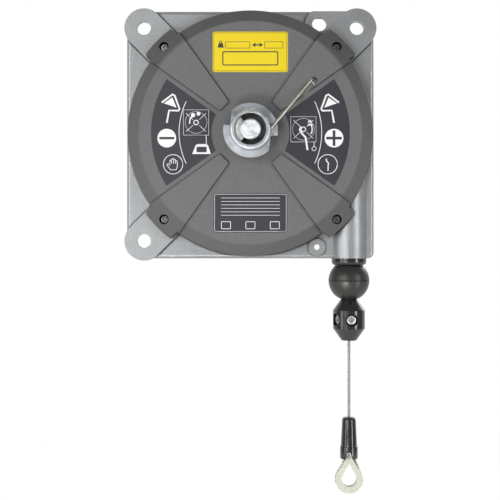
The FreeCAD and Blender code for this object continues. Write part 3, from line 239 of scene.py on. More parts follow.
# %% Materials in plain arithmetic
class Value:
    """A number or colour that comes out of a node."""

    def __init__(self, paint, socket):
        self.paint = paint
        self.socket = socket

    def maths(self, operation, a, b=0.0):
        return self.paint.node("ShaderNodeMath", {"operation": operation}, {0: a, 1: b})

    def __add__(self, other):
        return self.maths("ADD", self, other)

    def __radd__(self, other):
        return self.maths("ADD", other, self)

    def __sub__(self, other):
        return self.maths("SUBTRACT", self, other)

    def __rsub__(self, other):
        return self.maths("SUBTRACT", other, self)

    def __mul__(self, other):
        return self.maths("MULTIPLY", self, other)

    def __pow__(self, other):
        return self.maths("POWER", self, other)

    def size(self):
        """The value without its sign."""
        return self.maths("ABSOLUTE", self)

    def smooth(self, low, high):
        """A soft step from 0 at low to 1 at high."""
        settings = {"interpolation_type": "SMOOTHSTEP"}
        sockets = {"Value": self, "From Min": low, "From Max": high}
        return self.paint.node("ShaderNodeMapRange", settings, sockets)


class Wiring:
    """A node tree, and the one way in which nodes are added to it."""

    def __init__(self, tree):
        self.tree = tree

    def connect(self, socket, value):
        if isinstance(value, Value):
            self.tree.links.new(value.socket, socket)
        else:
            socket.default_value = value

    def node(self, kind, settings=None, sockets=None, out=0):
        made = self.tree.nodes.new(kind)
        for name, setting in (settings or {}).items():
            setattr(made, name, setting)
        for name, value in (sockets or {}).items():
            self.connect(made.inputs[name], value)
        return Value(self, made.outputs[out])


class Paint(Wiring):
    """One material, built on a Principled shader."""

    def __init__(self, name):
        self.material = bpy.data.materials.new(name)
        self.material.use_nodes = True
        super().__init__(self.material.node_tree)
        self.shader = self.tree.nodes["Principled BSDF"]
        self.coordinates = self.node("ShaderNodeTexCoord", out="Object")

    def set(self, **sockets):
        """Sets the shader's sockets: an underscore in a name stands for a space."""
        for name, value in sockets.items():
            self.connect(self.shader.inputs[name.replace("_", " ")], value)

    def noise(self, scale, detail=3.0, roughness=0.55):
        """Soft random values, with about this many lumps to the metre."""
        sockets = {"Scale": scale, "Detail": detail, "Roughness": roughness}
        sockets["Vector"] = self.coordinates
        return self.node("ShaderNodeTexNoise", None, sockets)

    def mix(self, factor, first, second):
        """A blend of two colours."""
        sockets = {0: factor, 6: first, 7: second}
        return self.node("ShaderNodeMix", {"data_type": "RGBA"}, sockets, out=2)

    def axes(self):
        """The object coordinates as three numbers."""
        split = {"Vector": self.coordinates}
        return [self.node("ShaderNodeSeparateXYZ", None, split, out=axis) for axis in "XYZ"]

    def relief(self, height, distance, rounding=0.0):
        """Surface relief from a height, over edges that are rounded for the light."""
        sockets = {"Height": height, "Distance": distance, "Strength": 1.0}
        if rounding:
            sockets["Normal"] = self.node("ShaderNodeBevel", {"samples": 6}, {"Radius": rounding})
        self.set(Normal=self.node("ShaderNodeBump", None, sockets))

    def occlusion_shade(self, reach, open_at=0.85, shut_at=0.35):
        """Painted shade from ambient occlusion: 1 in a tight inner corner, 0 on an open surface."""
        sockets = {"Distance": reach}
        light = self.node("ShaderNodeAmbientOcclusion", {"samples": 8}, sockets, out="AO")
        return 1 - light.smooth(shut_at, open_at)


def grey(level, tint=(1.0, 1.0, 1.0)):
    return (level * tint[0], level * tint[1], level * tint[2], 1.0)


print("material helpers ready")

# %% [markdown]
# The housing is a die casting with a satin silver finish. Its skin has a fine orange peel, a
# slightly uneven sheen, and the light rolls softly over its edges. A metal that is half rough gives
# the broad, pale gradients of the photograph without mirror images. Shade is painted into the
# colour in the inner corners, beside the straps and round the bosses, and in the bore of the upper
# hole, which is found by the distance from its middle line. Behind the plate's face the painted shade
# reaches further out.


# %% Cast aluminium
PAD_HOLE = (69.0, 110.6)
PAD_HOLE_RADIUS = 7.3
BORE_MOUTH = -54.6 * MM
BORE_BACK = -51.4 * MM
WIDER_BEHIND = 4 * MM


def make_cast():
    paint = Paint("cast_aluminium")
    x, y, z = paint.axes()
    # Painted shade in the bore of the upper hole, found by the distance from its middle line.
    to_hole = ((x - PAD_HOLE[0] * MM) ** 2 + (z - PAD_HOLE[1] * MM) ** 2) ** 0.5
    to_hole = to_hole - y.smooth(BORE_BACK, BORE_BACK + 0.6 * MM) * WIDER_BEHIND
    bore_shade = 1 - to_hole.smooth((PAD_HOLE_RADIUS - 0.1) * MM, (PAD_HOLE_RADIUS + 0.2) * MM)
    bore_shade = bore_shade * y.smooth(BORE_MOUTH, BORE_MOUTH + 0.4 * MM) * 0.8
    cloud = paint.noise(22, 4)
    skin = paint.noise(620, 3, 0.6)
    cool = (0.97, 1, 1.02)
    clean = paint.mix(cloud * 0.35 + skin * 0.65, grey(0.20, cool), grey(0.46, cool))
    # Painted shade: ambient occlusion in the inner corners, joined with the painted shade in the bore.
    painted_shade = 1 - (1 - paint.occlusion_shade(3 * MM, 0.95, 0.58) * 0.95) * (1 - bore_shade)
    paint.set(
        Base_Color=paint.mix(painted_shade, clean, grey(0.015)),
        Metallic=0.5,
        Roughness=0.26 + cloud * 0.08 + skin * 0.08,
    )
    paint.relief(skin, 0.0003, rounding=0.0009)
    return paint.material


# %% [markdown]
# The cover is moulded in dark grey plastic with a fine spark-eroded grain. Its sloping band is
# painted darker as shade, so the colour darkens a little far from the axis. Shade is also painted
# at the foot of the wedges and in the screw recesses. The four quarters are alike, so distances
# along and beside a diagonal, taken from |x| and |z|, serve all of them at once.


# %% Moulded cover
WEDGE_START = 36.3 * MM
WEDGE_HALF = 6.2 * MM
WEDGE_SPREAD = 0.1675
COVER_FACE = 72 * MM
BAND_START = 108.5 * MM
BAND_FULL = 111.5 * MM
WEDGE_END = 118 * MM
SCREW_PLACE = 85.2 * MM
RECESS_RADIUS = 5.3 * MM
RECESS_FRONT = -68.5 * MM


def make_cover_plastic():
    paint = Paint("cover_plastic")
    x, y, z = paint.axes()
    radius = (x * x + z * z) ** 0.5
    # Painted shade: the sloping band is mixed towards a darker grey.
    band = radius.smooth(BAND_START, BAND_FULL)
    across, up = x.size(), z.size()
    along = (across + up) * math.sqrt(0.5)
    aside = ((across - up) * math.sqrt(0.5)).size()
    # Painted shade: a thin dark line beside the foot of each wedge, on the face.
    beside = aside - (along - WEDGE_START) * WEDGE_SPREAD - WEDGE_HALF
    foot = (1 - beside.smooth(0.1 * MM, 1.0 * MM)) * beside.smooth(-0.5 * MM, 0.0)
    end = (along - WEDGE_START).smooth(-1.2 * MM, -0.6 * MM)
    on_face = y.smooth(-COVER_FACE - 1.2 * MM, -COVER_FACE - 0.2 * MM)
    shade = foot * end * on_face * (1 - radius.smooth(WEDGE_END, WEDGE_END + 2 * MM))
    # Painted shade in the screw recesses.
    to_screw = ((across - SCREW_PLACE) ** 2 + (up - SCREW_PLACE) ** 2) ** 0.5
    recess_shade = 1 - to_screw.smooth(RECESS_RADIUS - 0.4 * MM, RECESS_RADIUS)
    recess_shade = recess_shade * y.smooth(RECESS_FRONT, RECESS_FRONT + 1 * MM)
    # All the painted shade together, with ambient-occlusion shade in tight corners.
    painted_shade = 1 - (1 - shade * 0.9) * (1 - recess_shade) * (1 - paint.occlusion_shade(2.5 * MM) * 0.8)
    grain = paint.noise(900, 2, 0.7)
    mottle = paint.noise(60, 3)
    face = paint.mix(mottle, grey(0.088, (1.0, 1.01, 1.01)), grey(0.112, (1.0, 1.01, 1.02)))
    speckled = paint.mix(grain.smooth(0.3, 0.7) * 0.5, face, grey(0.18))
    band_shaded = paint.mix(band * 0.75, speckled, grey(0.066, (1.0, 1.0, 0.98)))
    paint.set(
        Base_Color=paint.mix(painted_shade, band_shaded, grey(0.008)),
        Roughness=0.4 + grain * 0.25,
    )
    paint.relief(grain, 0.0004, rounding=0.0006)
    return paint.material


# %% [markdown]
# Zinc plate is bright and slightly blue, with fine turning marks. The marks run round the axis, so a
# noise that depends on the radius alone gives rings, and a softer cloud breaks them up. The gap
# between the axle and the collar is painted a dark brown-grey, for old grease and for shade, and the
# corners get painted shade. The tang in the collar has a greenish passivation. The collar's rim and
# the ring's outer edge are painted bright, as a highlight and as wear, and the axle's face is bright too.


# %% Zinc plate
GAP_INNER = 10.3 * MM
GAP_OUTER = 15.6 * MM
GAP_FRONT = -98.5 * MM
AXLE_EDGE = 10.0 * MM
TANG_EDGE = 15.0 * MM
RIM_INNER = 17.3 * MM
RIM_OUTER = 19.3 * MM
RING_EDGE = 27.2 * MM
GREASE_AND_SHADE = (0.105, 0.095, 0.09, 1)
PASSIVATION = (0.64, 0.69, 0.61, 1)


def make_zinc(name, grease_shade_and_highlight=False):
    paint = Paint(name)
    tint = (0.94, 0.98, 1.03)
    x, y, z = paint.axes()
    radius = (x * x + z * z) ** 0.5
    rings = paint.node(
        "ShaderNodeTexNoise",
        {"noise_dimensions": "1D"},
        {"W": radius * 4000, "Scale": 1.0, "Detail": 2.0},
    )
    cloud = paint.noise(140, 3)
    colour = paint.mix(cloud * 0.5 + rings * 0.5, grey(0.14, tint), grey(0.58, tint))
    metallic = 0.95
    if grease_shade_and_highlight:
        # Old grease and painted shade deep in the gap between the axle and the collar.
        ring = radius.smooth(GAP_INNER - 0.2 * MM, GAP_INNER)
        ring = ring * (1 - radius.smooth(GAP_OUTER - 0.5 * MM, GAP_OUTER))
        gap_grease_and_shade = ring * y.smooth(GAP_FRONT, GAP_FRONT + 2 * MM)
        tang = 1 - radius.smooth(TANG_EDGE - 0.4 * MM, TANG_EDGE)
        colour = paint.mix(tang * 0.6, colour, PASSIVATION)
        face = 1 - radius.smooth(AXLE_EDGE - 0.4 * MM, AXLE_EDGE)
        colour = paint.mix(face * 0.8, colour, grey(0.74, tint))
        # Painted highlight and wear on the collar's rim and the ring's outer edge.
        rim = radius.smooth(RIM_INNER, RIM_INNER + 0.4 * MM)
        rim = rim * (1 - radius.smooth(RIM_OUTER - 0.3 * MM, RIM_OUTER))
        edge = radius.smooth(RING_EDGE - 0.6 * MM, RING_EDGE)
        wear_and_highlight = (rim + edge) * (0.6 + cloud * 0.6)
        colour = paint.mix(wear_and_highlight, colour, grey(0.95, tint))
        # Painted shade in tight corners, from ambient occlusion.
        colour = paint.mix(paint.occlusion_shade(3 * MM) * 0.75 * (1 - gap_grease_and_shade), colour, grey(0.05))
        colour = paint.mix(gap_grease_and_shade, colour, GREASE_AND_SHADE)
        metallic = 0.95 - gap_grease_and_shade * 0.9
    paint.set(
        Base_Color=colour,
        Metallic=metallic,
        Roughness=0.18 + rings * 0.2 + cloud * 0.08,
    )
    paint.relief(rings, 0.0003, rounding=0.0005)
    return paint.material


# %% [markdown]
# The remaining finishes are simpler: oiled steel for the hidden machinery, sintered bronze for the
# bushes, glossy black polymer, matte rubber, and creamy translucent nylon.


# %% Other finishes
def make_plain(
    name, low, high, metallic, roughness, scale=80, bump=0.00004, rounding=0.0003, shade_reach=0.0, ior=1.5
):
    """A finish with a slight cloud in its colour and sheen, and a fine skin."""
    paint = Paint(name)
    cloud = paint.noise(scale, 3)
    fine = paint.noise(scale * 14, 2)
    colour = paint.mix(cloud, low, high)
    # Painted shade in tight corners, such as a screw's socket, from ambient occlusion.
    if shade_reach:
        colour = paint.mix(paint.occlusion_shade(shade_reach), colour, grey(0.004))
    paint.set(
        Base_Color=colour,
        Metallic=metallic,
        Roughness=roughness + cloud * 0.08 + fine * 0.05,
        IOR=ior,
    )
    paint.relief(fine, bump, rounding=rounding)
    return paint.material


def make_nylon():
    """Creamy nylon, with a brownish painted shade between the thimble's side walls."""
    paint = Paint("nylon")
    _, y, _ = paint.axes()
    cloud = paint.noise(90, 3)
    # Painted shade in the thimble's groove, between its side walls.
    inward = 1 - (y - ROPE_Y).size().smooth(1.6 * MM, 2.9 * MM)
    cream = paint.mix(cloud, (0.54, 0.55, 0.45, 1), (0.61, 0.63, 0.53, 1))
    paint.set(
        Base_Color=paint.mix(inward * 0.8, cream, (0.42, 0.39, 0.30, 1)),
        Roughness=0.3 + cloud * 0.1,
        Subsurface_Weight=0.15,
        Subsurface_Radius=(0.003, 0.003, 0.002),
    )
    paint.relief(paint.noise(300, 2), 0.00003, rounding=0.0003)
    return paint.material


def make_laid_rope():
    """Steel rope with painted shade in the valleys between its strands."""
    paint = Paint("laid_rope")
    x, y, _ = paint.axes()
    radius = ((x - ROPE_X) ** 2 + (y - ROPE_Y) ** 2) ** 0.5
    crown = radius.smooth(1.05 * MM, 1.42 * MM)
    wear_and_highlight = paint.noise(700, 2)
    steel = paint.mix(wear_and_highlight, (0.27, 0.255, 0.24, 1), (0.56, 0.54, 0.50, 1))
    paint.set(
        # Painted shade: the colour goes dark in the valleys, below the strands' crowns.
        Base_Color=paint.mix(crown, (0.045, 0.04, 0.035, 1), steel),
        Metallic=0.7,
        Roughness=0.3 + wear_and_highlight * 0.15,
    )
    return paint.material


DARK_RUBBER = ((0.018, 0.018, 0.016, 1), (0.031, 0.031, 0.027, 1))
WIRE_STEEL = ((0.42, 0.40, 0.34, 1), (0.66, 0.65, 0.58, 1))
ROPE_STEEL = ((0.30, 0.28, 0.26, 1), (0.46, 0.44, 0.41, 1))
BRONZE = ((0.42, 0.28, 0.13, 1), (0.52, 0.36, 0.18, 1))
FINISHES = {
    "cast_aluminium": make_cast(),
    "cover_plastic": make_cover_plastic(),
    "zinc_plate": make_zinc("zinc_plate"),
    "bush_bronze": make_plain("bush_bronze", *BRONZE, 0.9, 0.4),
    "drum_alloy": make_plain("drum_alloy", grey(0.5), grey(0.62), 0.8, 0.35),
    "spring_steel": make_plain("spring_steel", *WIRE_STEEL, 0.75, 0.28),
    "steel_rope": make_plain("steel_rope", *ROPE_STEEL, 0.8, 0.36),
    "rubber": make_plain("rubber", *DARK_RUBBER, 0.0, 0.3, scale=50, bump=0.00012, rounding=0.0006),
    "black_polymer": make_plain(
        "black_polymer",
        grey(0.009),
        grey(0.016),
        0.0,
        0.13,
        scale=120,
        bump=0.00002,
        rounding=0.0004,
        ior=1.62,
    ),
    "nylon": make_nylon(),
    "ferrule_alloy": make_plain("ferrule_alloy", grey(0.55), grey(0.7), 0.9, 0.32),
}
ZINC_GREASE_SHADE_HIGHLIGHT = make_zinc("zinc_grease_shade_highlight", grease_shade_and_highlight=True)


def paint_piece(piece, material):
    piece.data.materials.clear()
    piece.data.materials.append(material)


for part in frame["record"]["subparts"]:
    paint_piece(NODES[part["node"]], FINISHES[part["material_slot"]])
for name in ("ratchet_ring", "adjusting_sleeve", "axle"):
    paint_piece(NODES[name], ZINC_GREASE_SHADE_HIGHLIGHT)
LAID_ROPE = make_laid_rope()
for piece in (hanging_rope, outlet_rope):
    paint_piece(piece, LAID_ROPE)
print("finishes:", len(FINISHES) + 2)

# %% [markdown]
# The signs are thin films stuck on the cover. Each film is a flat curve that is filled, given a
# thickness of 0.15 mm and converted to a mesh, and its print is a thinner layer of ink. They are
# drawn lying down, with X to the right and Y up, and then stood upright in front of the cover's face.

# %% Flat art
FILM = 0.15 * MM
INK = 0.05 * MM


def stand_up(piece, depth):
    """Stands a flat piece upright, facing the front, at a depth, and keeps its place in its mesh."""
    piece.matrix_world = Matrix.Translation((0, -depth, 0)) @ Matrix.Rotation(math.pi / 2, 4, "X")
    pick(piece)
    bpy.ops.object.transform_apply(location=True, rotation=True, scale=True)
    return piece


def film(name, outlines, thickness=INK):
    """A filled flat shape with its outlines in millimetres: later ones cut holes in the first."""
    data = bpy.data.curves.new(name, "CURVE")
    data.dimensions = "2D"
    data.fill_mode = "BOTH"
    data.extrude = thickness / 2
    for outline in outlines:
        spline = data.splines.new("POLY")
        spline.points.add(len(outline) - 1)
        for point, (x, y) in zip(spline.points, outline):
            point.co = (x * MM, y * MM, 0, 1)
        spline.use_cyclic_u = True
    made = bpy.data.objects.new(name, data)
    bpy.context.scene.collection.objects.link(made)
    pick(made)
    bpy.ops.object.convert(target="MESH")
    return bpy.context.object


def line_art(name, points, width, closed=False):
    """A printed line of one width along points in millimetres: a tube pressed flat."""
    places = [(x * MM, y * MM, 0) for x, y in points]
    if closed:
        places += places[:2]
    made = tube(name, places, width * MM / 2, sides=3)
    made.scale = (1, 1, INK / (width * MM))
    bpy.ops.object.transform_apply(location=True, rotation=True, scale=True)
    return made


def arc(centre, radius, start, end, steps=24):
    """Points on an arc, with its angles in degrees."""
    turns = [math.radians(start + (end - start) * i / steps) for i in range(steps + 1)]
    return [(centre[0] + radius * math.cos(t), centre[1] + radius * math.sin(t)) for t in turns]


def circle(centre, radius):
    return arc(centre, radius, 0, 360, 40)[:-1]


def round_box(centre, width, height, corner):
    """The outline of a rectangle with round corners."""
    right, top = width / 2 - corner, height / 2 - corner
    outline = []
    for x, y, start in ((right, top, 0), (-right, top, 90), (-right, -top, 180), (right, -top, 270)):
        outline += arc((centre[0] + x, centre[1] + y), corner, start, start + 90, 6)
    return outline


print("flat art helpers ready")

# %% [markdown]
# The side films fill the sectors between the wedges. Each is bounded by two arcs about the drum's
# axis and by two lines that run beside the wedges at a steady margin. A line beside a wedge is
# v = a + b * u along the diagonal, so its ends come from where it meets the two circles.

# %% Sector films
EDGE_AT_AXIS = 5.19
FILM_OUTER = 97.6
FILM_INNER = 38.3
UPPER_CENTRE = (-0.1, 79.2)
LOWER_CENTRE = (0.0, -79.0)


def beside_wedge(radius):
    """The angle from the X axis at which the film's straight side meets a circle."""
    a = 1 + WEDGE_SPREAD**2
    b = 2 * WEDGE_SPREAD * EDGE_AT_AXIS
    c = EDGE_AT_AXIS**2 - radius**2
    u = (-b + math.sqrt(b * b - 4 * a * c)) / (2 * a)
    return 45 - math.degrees(math.atan2(EDGE_AT_AXIS + WEDGE_SPREAD * u, u))


def sector_outline(side):
    """The outline of the left (-1) or right (1) film."""
    outer, inner = beside_wedge(FILM_OUTER), beside_wedge(FILM_INNER)
    outline = arc((0, 0), FILM_OUTER, -outer, outer, 40)
    outline += arc((0, 0), FILM_INNER, inner, -inner, 24)
    return [(side * x, y) for x, y in outline]


films = []
for side, name in ((-1, "left_film"), (1, "right_film")):
    made = film(name, [sector_outline(side)], FILM)
    stand_up(made, COVER_FACE + FILM / 2)
    films.append(made)
for name, centre, width, height in (
    ("upper_plate", UPPER_CENTRE, 73.9, 39.7),
    ("lower_plate", LOWER_CENTRE, 72.4, 38.5),
):
    made = film(name, [round_box(centre, width, height, 2.6)], FILM)
    stand_up(made, COVER_FACE + FILM / 2)
    films.append(made)
left_film, right_film, upper_plate, lower_plate = films
print("films:", [made.name for made in films])

# %% [markdown]
# The signs on the side films tell the user which way to turn the ring: an arrow with a minus on the
# left and one with a plus on the right, with small pictures of the balancer, a weight, a hand and a
# hook. Most of them are the same on both sides but mirrored, so one function draws them.

# %% Signs on both sides
ARROW = [(-87.0, 29.4), (-76.6, 37.4), (-74.4, 36.2), (-69.6, 23.0), (-71.0, 21.4)]
ARROW += [(-80.0, 21.6), (-82.2, 9.4)]
ARROW_HEAD = [(-85.0, 28.6), (-76.8, 34.4), (-72.6, 24.4)]
SIGN_CENTRE = (-82.2, -5.6)
SIGN_RADIUS = 9.2
RING_CENTRE = (-76.0, -31.3)
RING_RADIUS = 9.5
DIVIDER_RADIUS = 70.1
DIVIDER_HALF_ANGLE = 25.8


def mirrored(points, side):
    return [(-side * x, y) for x, y in points]


def moved(points, centre):
    return [(centre[0] + x, centre[1] + y) for x, y in points]


def bar(centre, width, height):
    return round_box(centre, width, height, min(width, height) * 0.45)


def draw_both(side):
    """The arrow, the round sign, the divider and the ring of one side."""
    parts = [line_art("arrow", mirrored(ARROW, side), 1.9)]
    parts.append(film("arrow_head", [mirrored(ARROW_HEAD, side)]))
    centre = mirrored([SIGN_CENTRE], side)[0]
    holes = [bar(centre, 15.2, 2.3)]
    if side > 0:
        long, thin = 7.6, 1.3
        cross = [(long, thin), (thin, thin), (thin, long), (-thin, long), (-thin, thin), (-long, thin)]
        cross += [(-x, -y) for x, y in cross]
        holes = [moved(cross, centre)]
    parts.append(film("sign", [circle(centre, SIGN_RADIUS), *holes]))
    divider = arc((0, 0), DIVIDER_RADIUS, 180 - DIVIDER_HALF_ANGLE, 180 + DIVIDER_HALF_ANGLE)
    parts.append(line_art("divider", mirrored(divider, side), 0.7))
    ring = circle(mirrored([RING_CENTRE], side)[0], RING_RADIUS)
    parts.append(line_art("ring", ring, 0.7, closed=True))
    return parts


# %% Small pictures
HAND = [(-2.6, -5.4), (-6.0, -0.6), (-5.6, 0.4), (-4.6, 0.5), (-3.1, -1.2), (-3.1, 3.4)]
HAND += [(-2.6, 4.2), (-1.8, 4.2), (-1.4, 3.4), (-1.3, 5.0), (-0.7, 5.7), (0.1, 5.6), (0.5, 4.7)]
HAND += [(1.3, 5.0), (2.0, 4.7), (2.3, 3.7), (3.2, 3.5), (3.9, 3.2), (4.1, 2.4), (4.3, -2.0), (3.0, -5.4)]
FINGERS = [((-1.4, 3.4), (-1.35, 0.6)), ((0.5, 4.7), (0.45, 0.6)), ((2.3, 3.7), (2.25, 0.6))]
HOOK = [(-1.0, 5.6), (-1.6, 4.0), (-0.4, 2.4), (0.8, 1.0), (0.4, -1.2), (0.3, -6.4)]
WEIGHT = [(-57.2, -21.2), (-38.9, -21.2), (-41.6, -12.6), (-43.2, -11.4), (-52.0, -11.4), (-53.8, -12.6)]
LEFT_PICTURE = (-53.4, 9.8)
RIGHT_PICTURE = (52.1, 3.1)
PICTURE_HALF = 12.4


def draw_balancer(centre, knob):
    """A little balancer seen from the front: frame, crossed wedges, cover edge and middle."""
    h = PICTURE_HALF
    corners = moved([(-h, -h), (h, -h), (h, h), (-h, h)], centre)
    parts = [line_art("frame", corners, 0.45, closed=True)]
    parts.append(line_art("edge", moved(circle((0, 0), h * 0.86), centre), 0.3, closed=True))
    for x in (-1, 1):
        for z in (-1, 1):
            spoke = [(x * h * 0.25, z * h * 0.22), (x * h * 0.78, z * h * 0.72)]
            parts.append(line_art("spoke", moved(spoke, centre), 0.5))
    parts.append(line_art("middle", moved(circle((0, 0), 2.2), centre), 1.0, closed=True))
    parts.append(film("knob", [moved(circle(knob, 1.9), centre)]))
    return parts


def draw_left():
    ring = RING_CENTRE
    parts = [line_art("hand", moved(HAND, ring), 0.75, closed=True)]
    parts += [line_art("finger", moved(finger, ring), 0.6) for finger in FINGERS]
    parts += draw_balancer(LEFT_PICTURE, (2.4, 8.6))
    parts.append(line_art("key", moved([(-6.4, -1.2), (-5.8, 3.6), (-3.2, 6.6)], LEFT_PICTURE), 1.3))
    parts.append(film("key_head", [moved(circle((-3.0, 7.2), 2.1), LEFT_PICTURE)]))
    parts.append(line_art("chain", [(-43.6, -2.8), (-43.2, -11.4)], 0.8))
    parts.append(film("weight", [WEIGHT, round_box((-48.0, -16.8), 10.0, 5.4, 0.8)]))
    return parts


def draw_right():
    ring = mirrored([RING_CENTRE], 1)[0]
    parts = [line_art("hook", moved(HOOK, ring), 1.1)]
    parts += draw_balancer(RIGHT_PICTURE, (6.2, 7.2))
    handle = [(-2.4, 2.6), (-3.6, -0.4), (-1.2, -4.4), (2.2, -8.0), (4.0, -20.4)]
    parts.append(line_art("handle", moved(handle, RIGHT_PICTURE), 1.9))
    parts.append(line_art("turn", arc(RIGHT_PICTURE, 8.6, -32, 30), 1.2))
    head = moved([(9.8, 4.0), (4.6, 3.4), (5.2, 8.4)], RIGHT_PICTURE)
    parts.append(film("turn_head", [head]))
    parts.append(line_art("cord", [(62.6, -9.6), (62.6, -13.6)], 0.7))
    parts.append(line_art("eye", circle((62.6, -16.0), 2.0), 0.6, closed=True))
    return parts


left_signs = joined("left_signs", draw_both(-1) + draw_left())
right_signs = joined("right_signs", draw_both(1) + draw_right())
for signs in (left_signs, right_signs):
    stand_up(signs, COVER_FACE + FILM + INK / 2)
print("signs:", len(left_signs.data.polygons), len(right_signs.data.polygons), "faces")

# %% [markdown]
# The two rectangular plates carry plain fields. The upper one is yellow with a fine dark border, a
# weight with a field for the load, a double arrow with a field for the travel, and a wide empty
# field. The lower one is a dark inspection card with ruled lines and three empty boxes to tick.

# %% Plates
RULE_GAP = 3.4
BOX_PLACES = (-24.0, 0.0, 24.0)
FIELD_ROW = 86.0


def frame_line(name, centre, width, height, corner, line):
    return line_art(name, round_box(centre, width, height, corner), line, closed=True)


upper_print = joined(
    "upper_print",
    [
        frame_line("border", UPPER_CENTRE, 71.6, 37.4, 2.0, 0.4),
        frame_line("field", (UPPER_CENTRE[0], UPPER_CENTRE[1] - 6.4), 54.0, 13.0, 1.4, 1.1),
        film("weight_icon", [[(-32.2, 83.4), (-26.2, 83.4), (-27.4, 87.8), (-31.0, 87.8)]]),
        line_art("weight_ring", circle((-29.2, 88.6), 1.2), 0.7, closed=True),
        frame_line("load_field", (-12.6, FIELD_ROW), 24.0, 6.2, 0.8, 0.5),
        line_art("travel", [(3.6, FIELD_ROW), (10.4, FIELD_ROW)], 1.0),
        film("arrow_left", [[(1.6, FIELD_ROW), (5.0, 88.0), (5.0, 84.0)]]),
        film("arrow_right", [[(12.4, FIELD_ROW), (9.0, 84.0), (9.0, 88.0)]]),
        frame_line("travel_field", (23.0, FIELD_ROW), 18.0, 6.2, 0.8, 0.5),
    ],
)
rules = []
for i in range(6):
    height = LOWER_CENTRE[1] + 14.6 - RULE_GAP * i
    rules.append(line_art("rule", [(-29.0, height), (29.0, height)], 0.45))
boxes = [frame_line("box", (x, LOWER_CENTRE[1] - 12.2), 9.0, 7.0, 0.6, 0.6) for x in BOX_PLACES]
lower_print = joined(
    "lower_print", [frame_line("border", LOWER_CENTRE, 70.4, 36.5, 1.6, 0.35), *rules, *boxes]
)
for print_piece in (upper_print, lower_print):
    stand_up(print_piece, COVER_FACE + FILM + INK / 2)
print("plates printed")

# %% [markdown]
# A printed film is satin vinyl. The dark films are blue-grey, and the ink on them is a soft white
# with a trace of wear. The yellow film has a dark print.


# %% Film finishes
def make_film(name, low, high, roughness=0.38):
    return make_plain(name, low, high, 0.0, roughness, scale=45, bump=0.00001, rounding=0.0)


dark_vinyl = make_film("dark_vinyl", (0.023, 0.024, 0.031, 1), (0.031, 0.032, 0.040, 1))
yellow_vinyl = make_film("yellow_vinyl", (0.72, 0.54, 0.003, 1), (0.79, 0.61, 0.006, 1))
white_ink = make_film("white_ink", grey(0.72), grey(0.86), 0.5)
dark_ink = make_film("dark_ink", (0.02, 0.02, 0.03, 1), (0.035, 0.035, 0.045, 1), 0.5)

for piece, material in (
    (left_film, dark_vinyl),
    (right_film, dark_vinyl),
    (lower_plate, dark_vinyl),
    (upper_plate, yellow_vinyl),
    (left_signs, white_ink),
    (right_signs, white_ink),
    (lower_print, white_ink),
    (upper_print, dark_ink),
):
    paint_piece(piece, material)
    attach(piece, "housing")
print("films finished")

# %% [markdown]
# The buffer ball is rubber, moulded in two halves: a fine dark line and a trace of flash run round
# its middle. A sphere is cut flat where it meets the guide and the clamp. Its middle ring of edges
# is bevelled, and the new middle is drawn in a little, which leaves a groove between two lips.

# %% Buffer ball
BALL_RADIUS = 20.6 * MM
BALL_CENTRE = Vector((ROPE_X, ROPE_Y, -146.4 * MM))
BALL_TOP = 15.2 * MM
BALL_BOTTOM = 18.05 * MM
PARTING_HALF = 0.35 * MM


def select_points(piece, test):
    """Opens a piece for editing, with the points selected that pass a test."""
    bpy.ops.object.mode_set(mode="EDIT")
    bpy.ops.mesh.select_mode(type="VERT")
    bpy.ops.mesh.select_all(action="DESELECT")
    bpy.ops.object.mode_set(mode="OBJECT")
    for point in piece.data.vertices:
        point.select = test(point.co)
    bpy.ops.object.mode_set(mode="EDIT")


def keep_place(piece):
    """Leaves edit mode and moves a piece's place into its mesh."""
    bpy.ops.object.mode_set(mode="OBJECT")
    pick(piece)
    bpy.ops.object.transform_apply(location=True, rotation=True, scale=True)


bpy.ops.mesh.primitive_uv_sphere_add(segments=72, ring_count=36, radius=BALL_RADIUS, location=BALL_CENTRE)
ball = bpy.context.object
ball.name = "moulded_ball"
keep_place(ball)
for level, normal in ((BALL_TOP, 1), (-BALL_BOTTOM, -1)):
    bpy.ops.object.mode_set(mode="EDIT")
    bpy.ops.mesh.select_all(action="SELECT")
    bpy.ops.mesh.bisect(
        plane_co=BALL_CENTRE + Vector((0, 0, level)),
        plane_no=(0, 0, normal),
        use_fill=True,
        clear_outer=True,
    )
    bpy.ops.object.mode_set(mode="OBJECT")
select_points(ball, lambda p: abs(p.z - BALL_CENTRE.z) < 0.1 * MM)
bpy.ops.mesh.bevel(offset=PARTING_HALF, offset_type="OFFSET", segments=2, affect="EDGES")
bpy.ops.object.mode_set(mode="OBJECT")
select_points(ball, lambda p: abs(p.z - BALL_CENTRE.z) < 0.02 * MM)
bpy.ops.transform.resize(value=(0.965, 0.965, 1), center_override=BALL_CENTRE)
bpy.ops.object.mode_set(mode="OBJECT")
select_points(ball, lambda p: 0.1 * MM < abs(p.z - BALL_CENTRE.z) < 0.6 * MM)
bpy.ops.transform.resize(value=(1.012, 1.012, 1), center_override=BALL_CENTRE)
keep_place(ball)
smooth(ball, 50)
paint_piece(ball, FINISHES["rubber"])
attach(ball, "rope_end")
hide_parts("buffer_ball")
print("ball:", len(ball.data.polygons), "faces")

# %% [markdown]
# Socket screws hold the cover and clamp the rope. Each is a short cylinder with a bevelled rim, a
# hexagonal socket cut into its face, and a shank behind. One function models them head forward, and
# each copy is turned and put in its place. The cover's screws are blackened, the clamp's are bright.


# %% Socket screws
def cylinder(name, radius, front, back, sides=40):
    """A cylinder along Y between two values of y, in millimetres."""
    bpy.ops.mesh.primitive_cylinder_add(
        vertices=sides,
        radius=radius * MM,
        depth=(back - front) * MM,
        location=(0, (front + back) / 2 * MM, 0),
        rotation=(math.pi / 2, 0, 0),
    )
    made = bpy.context.object
    made.name = name
    keep_place(made)
    return made


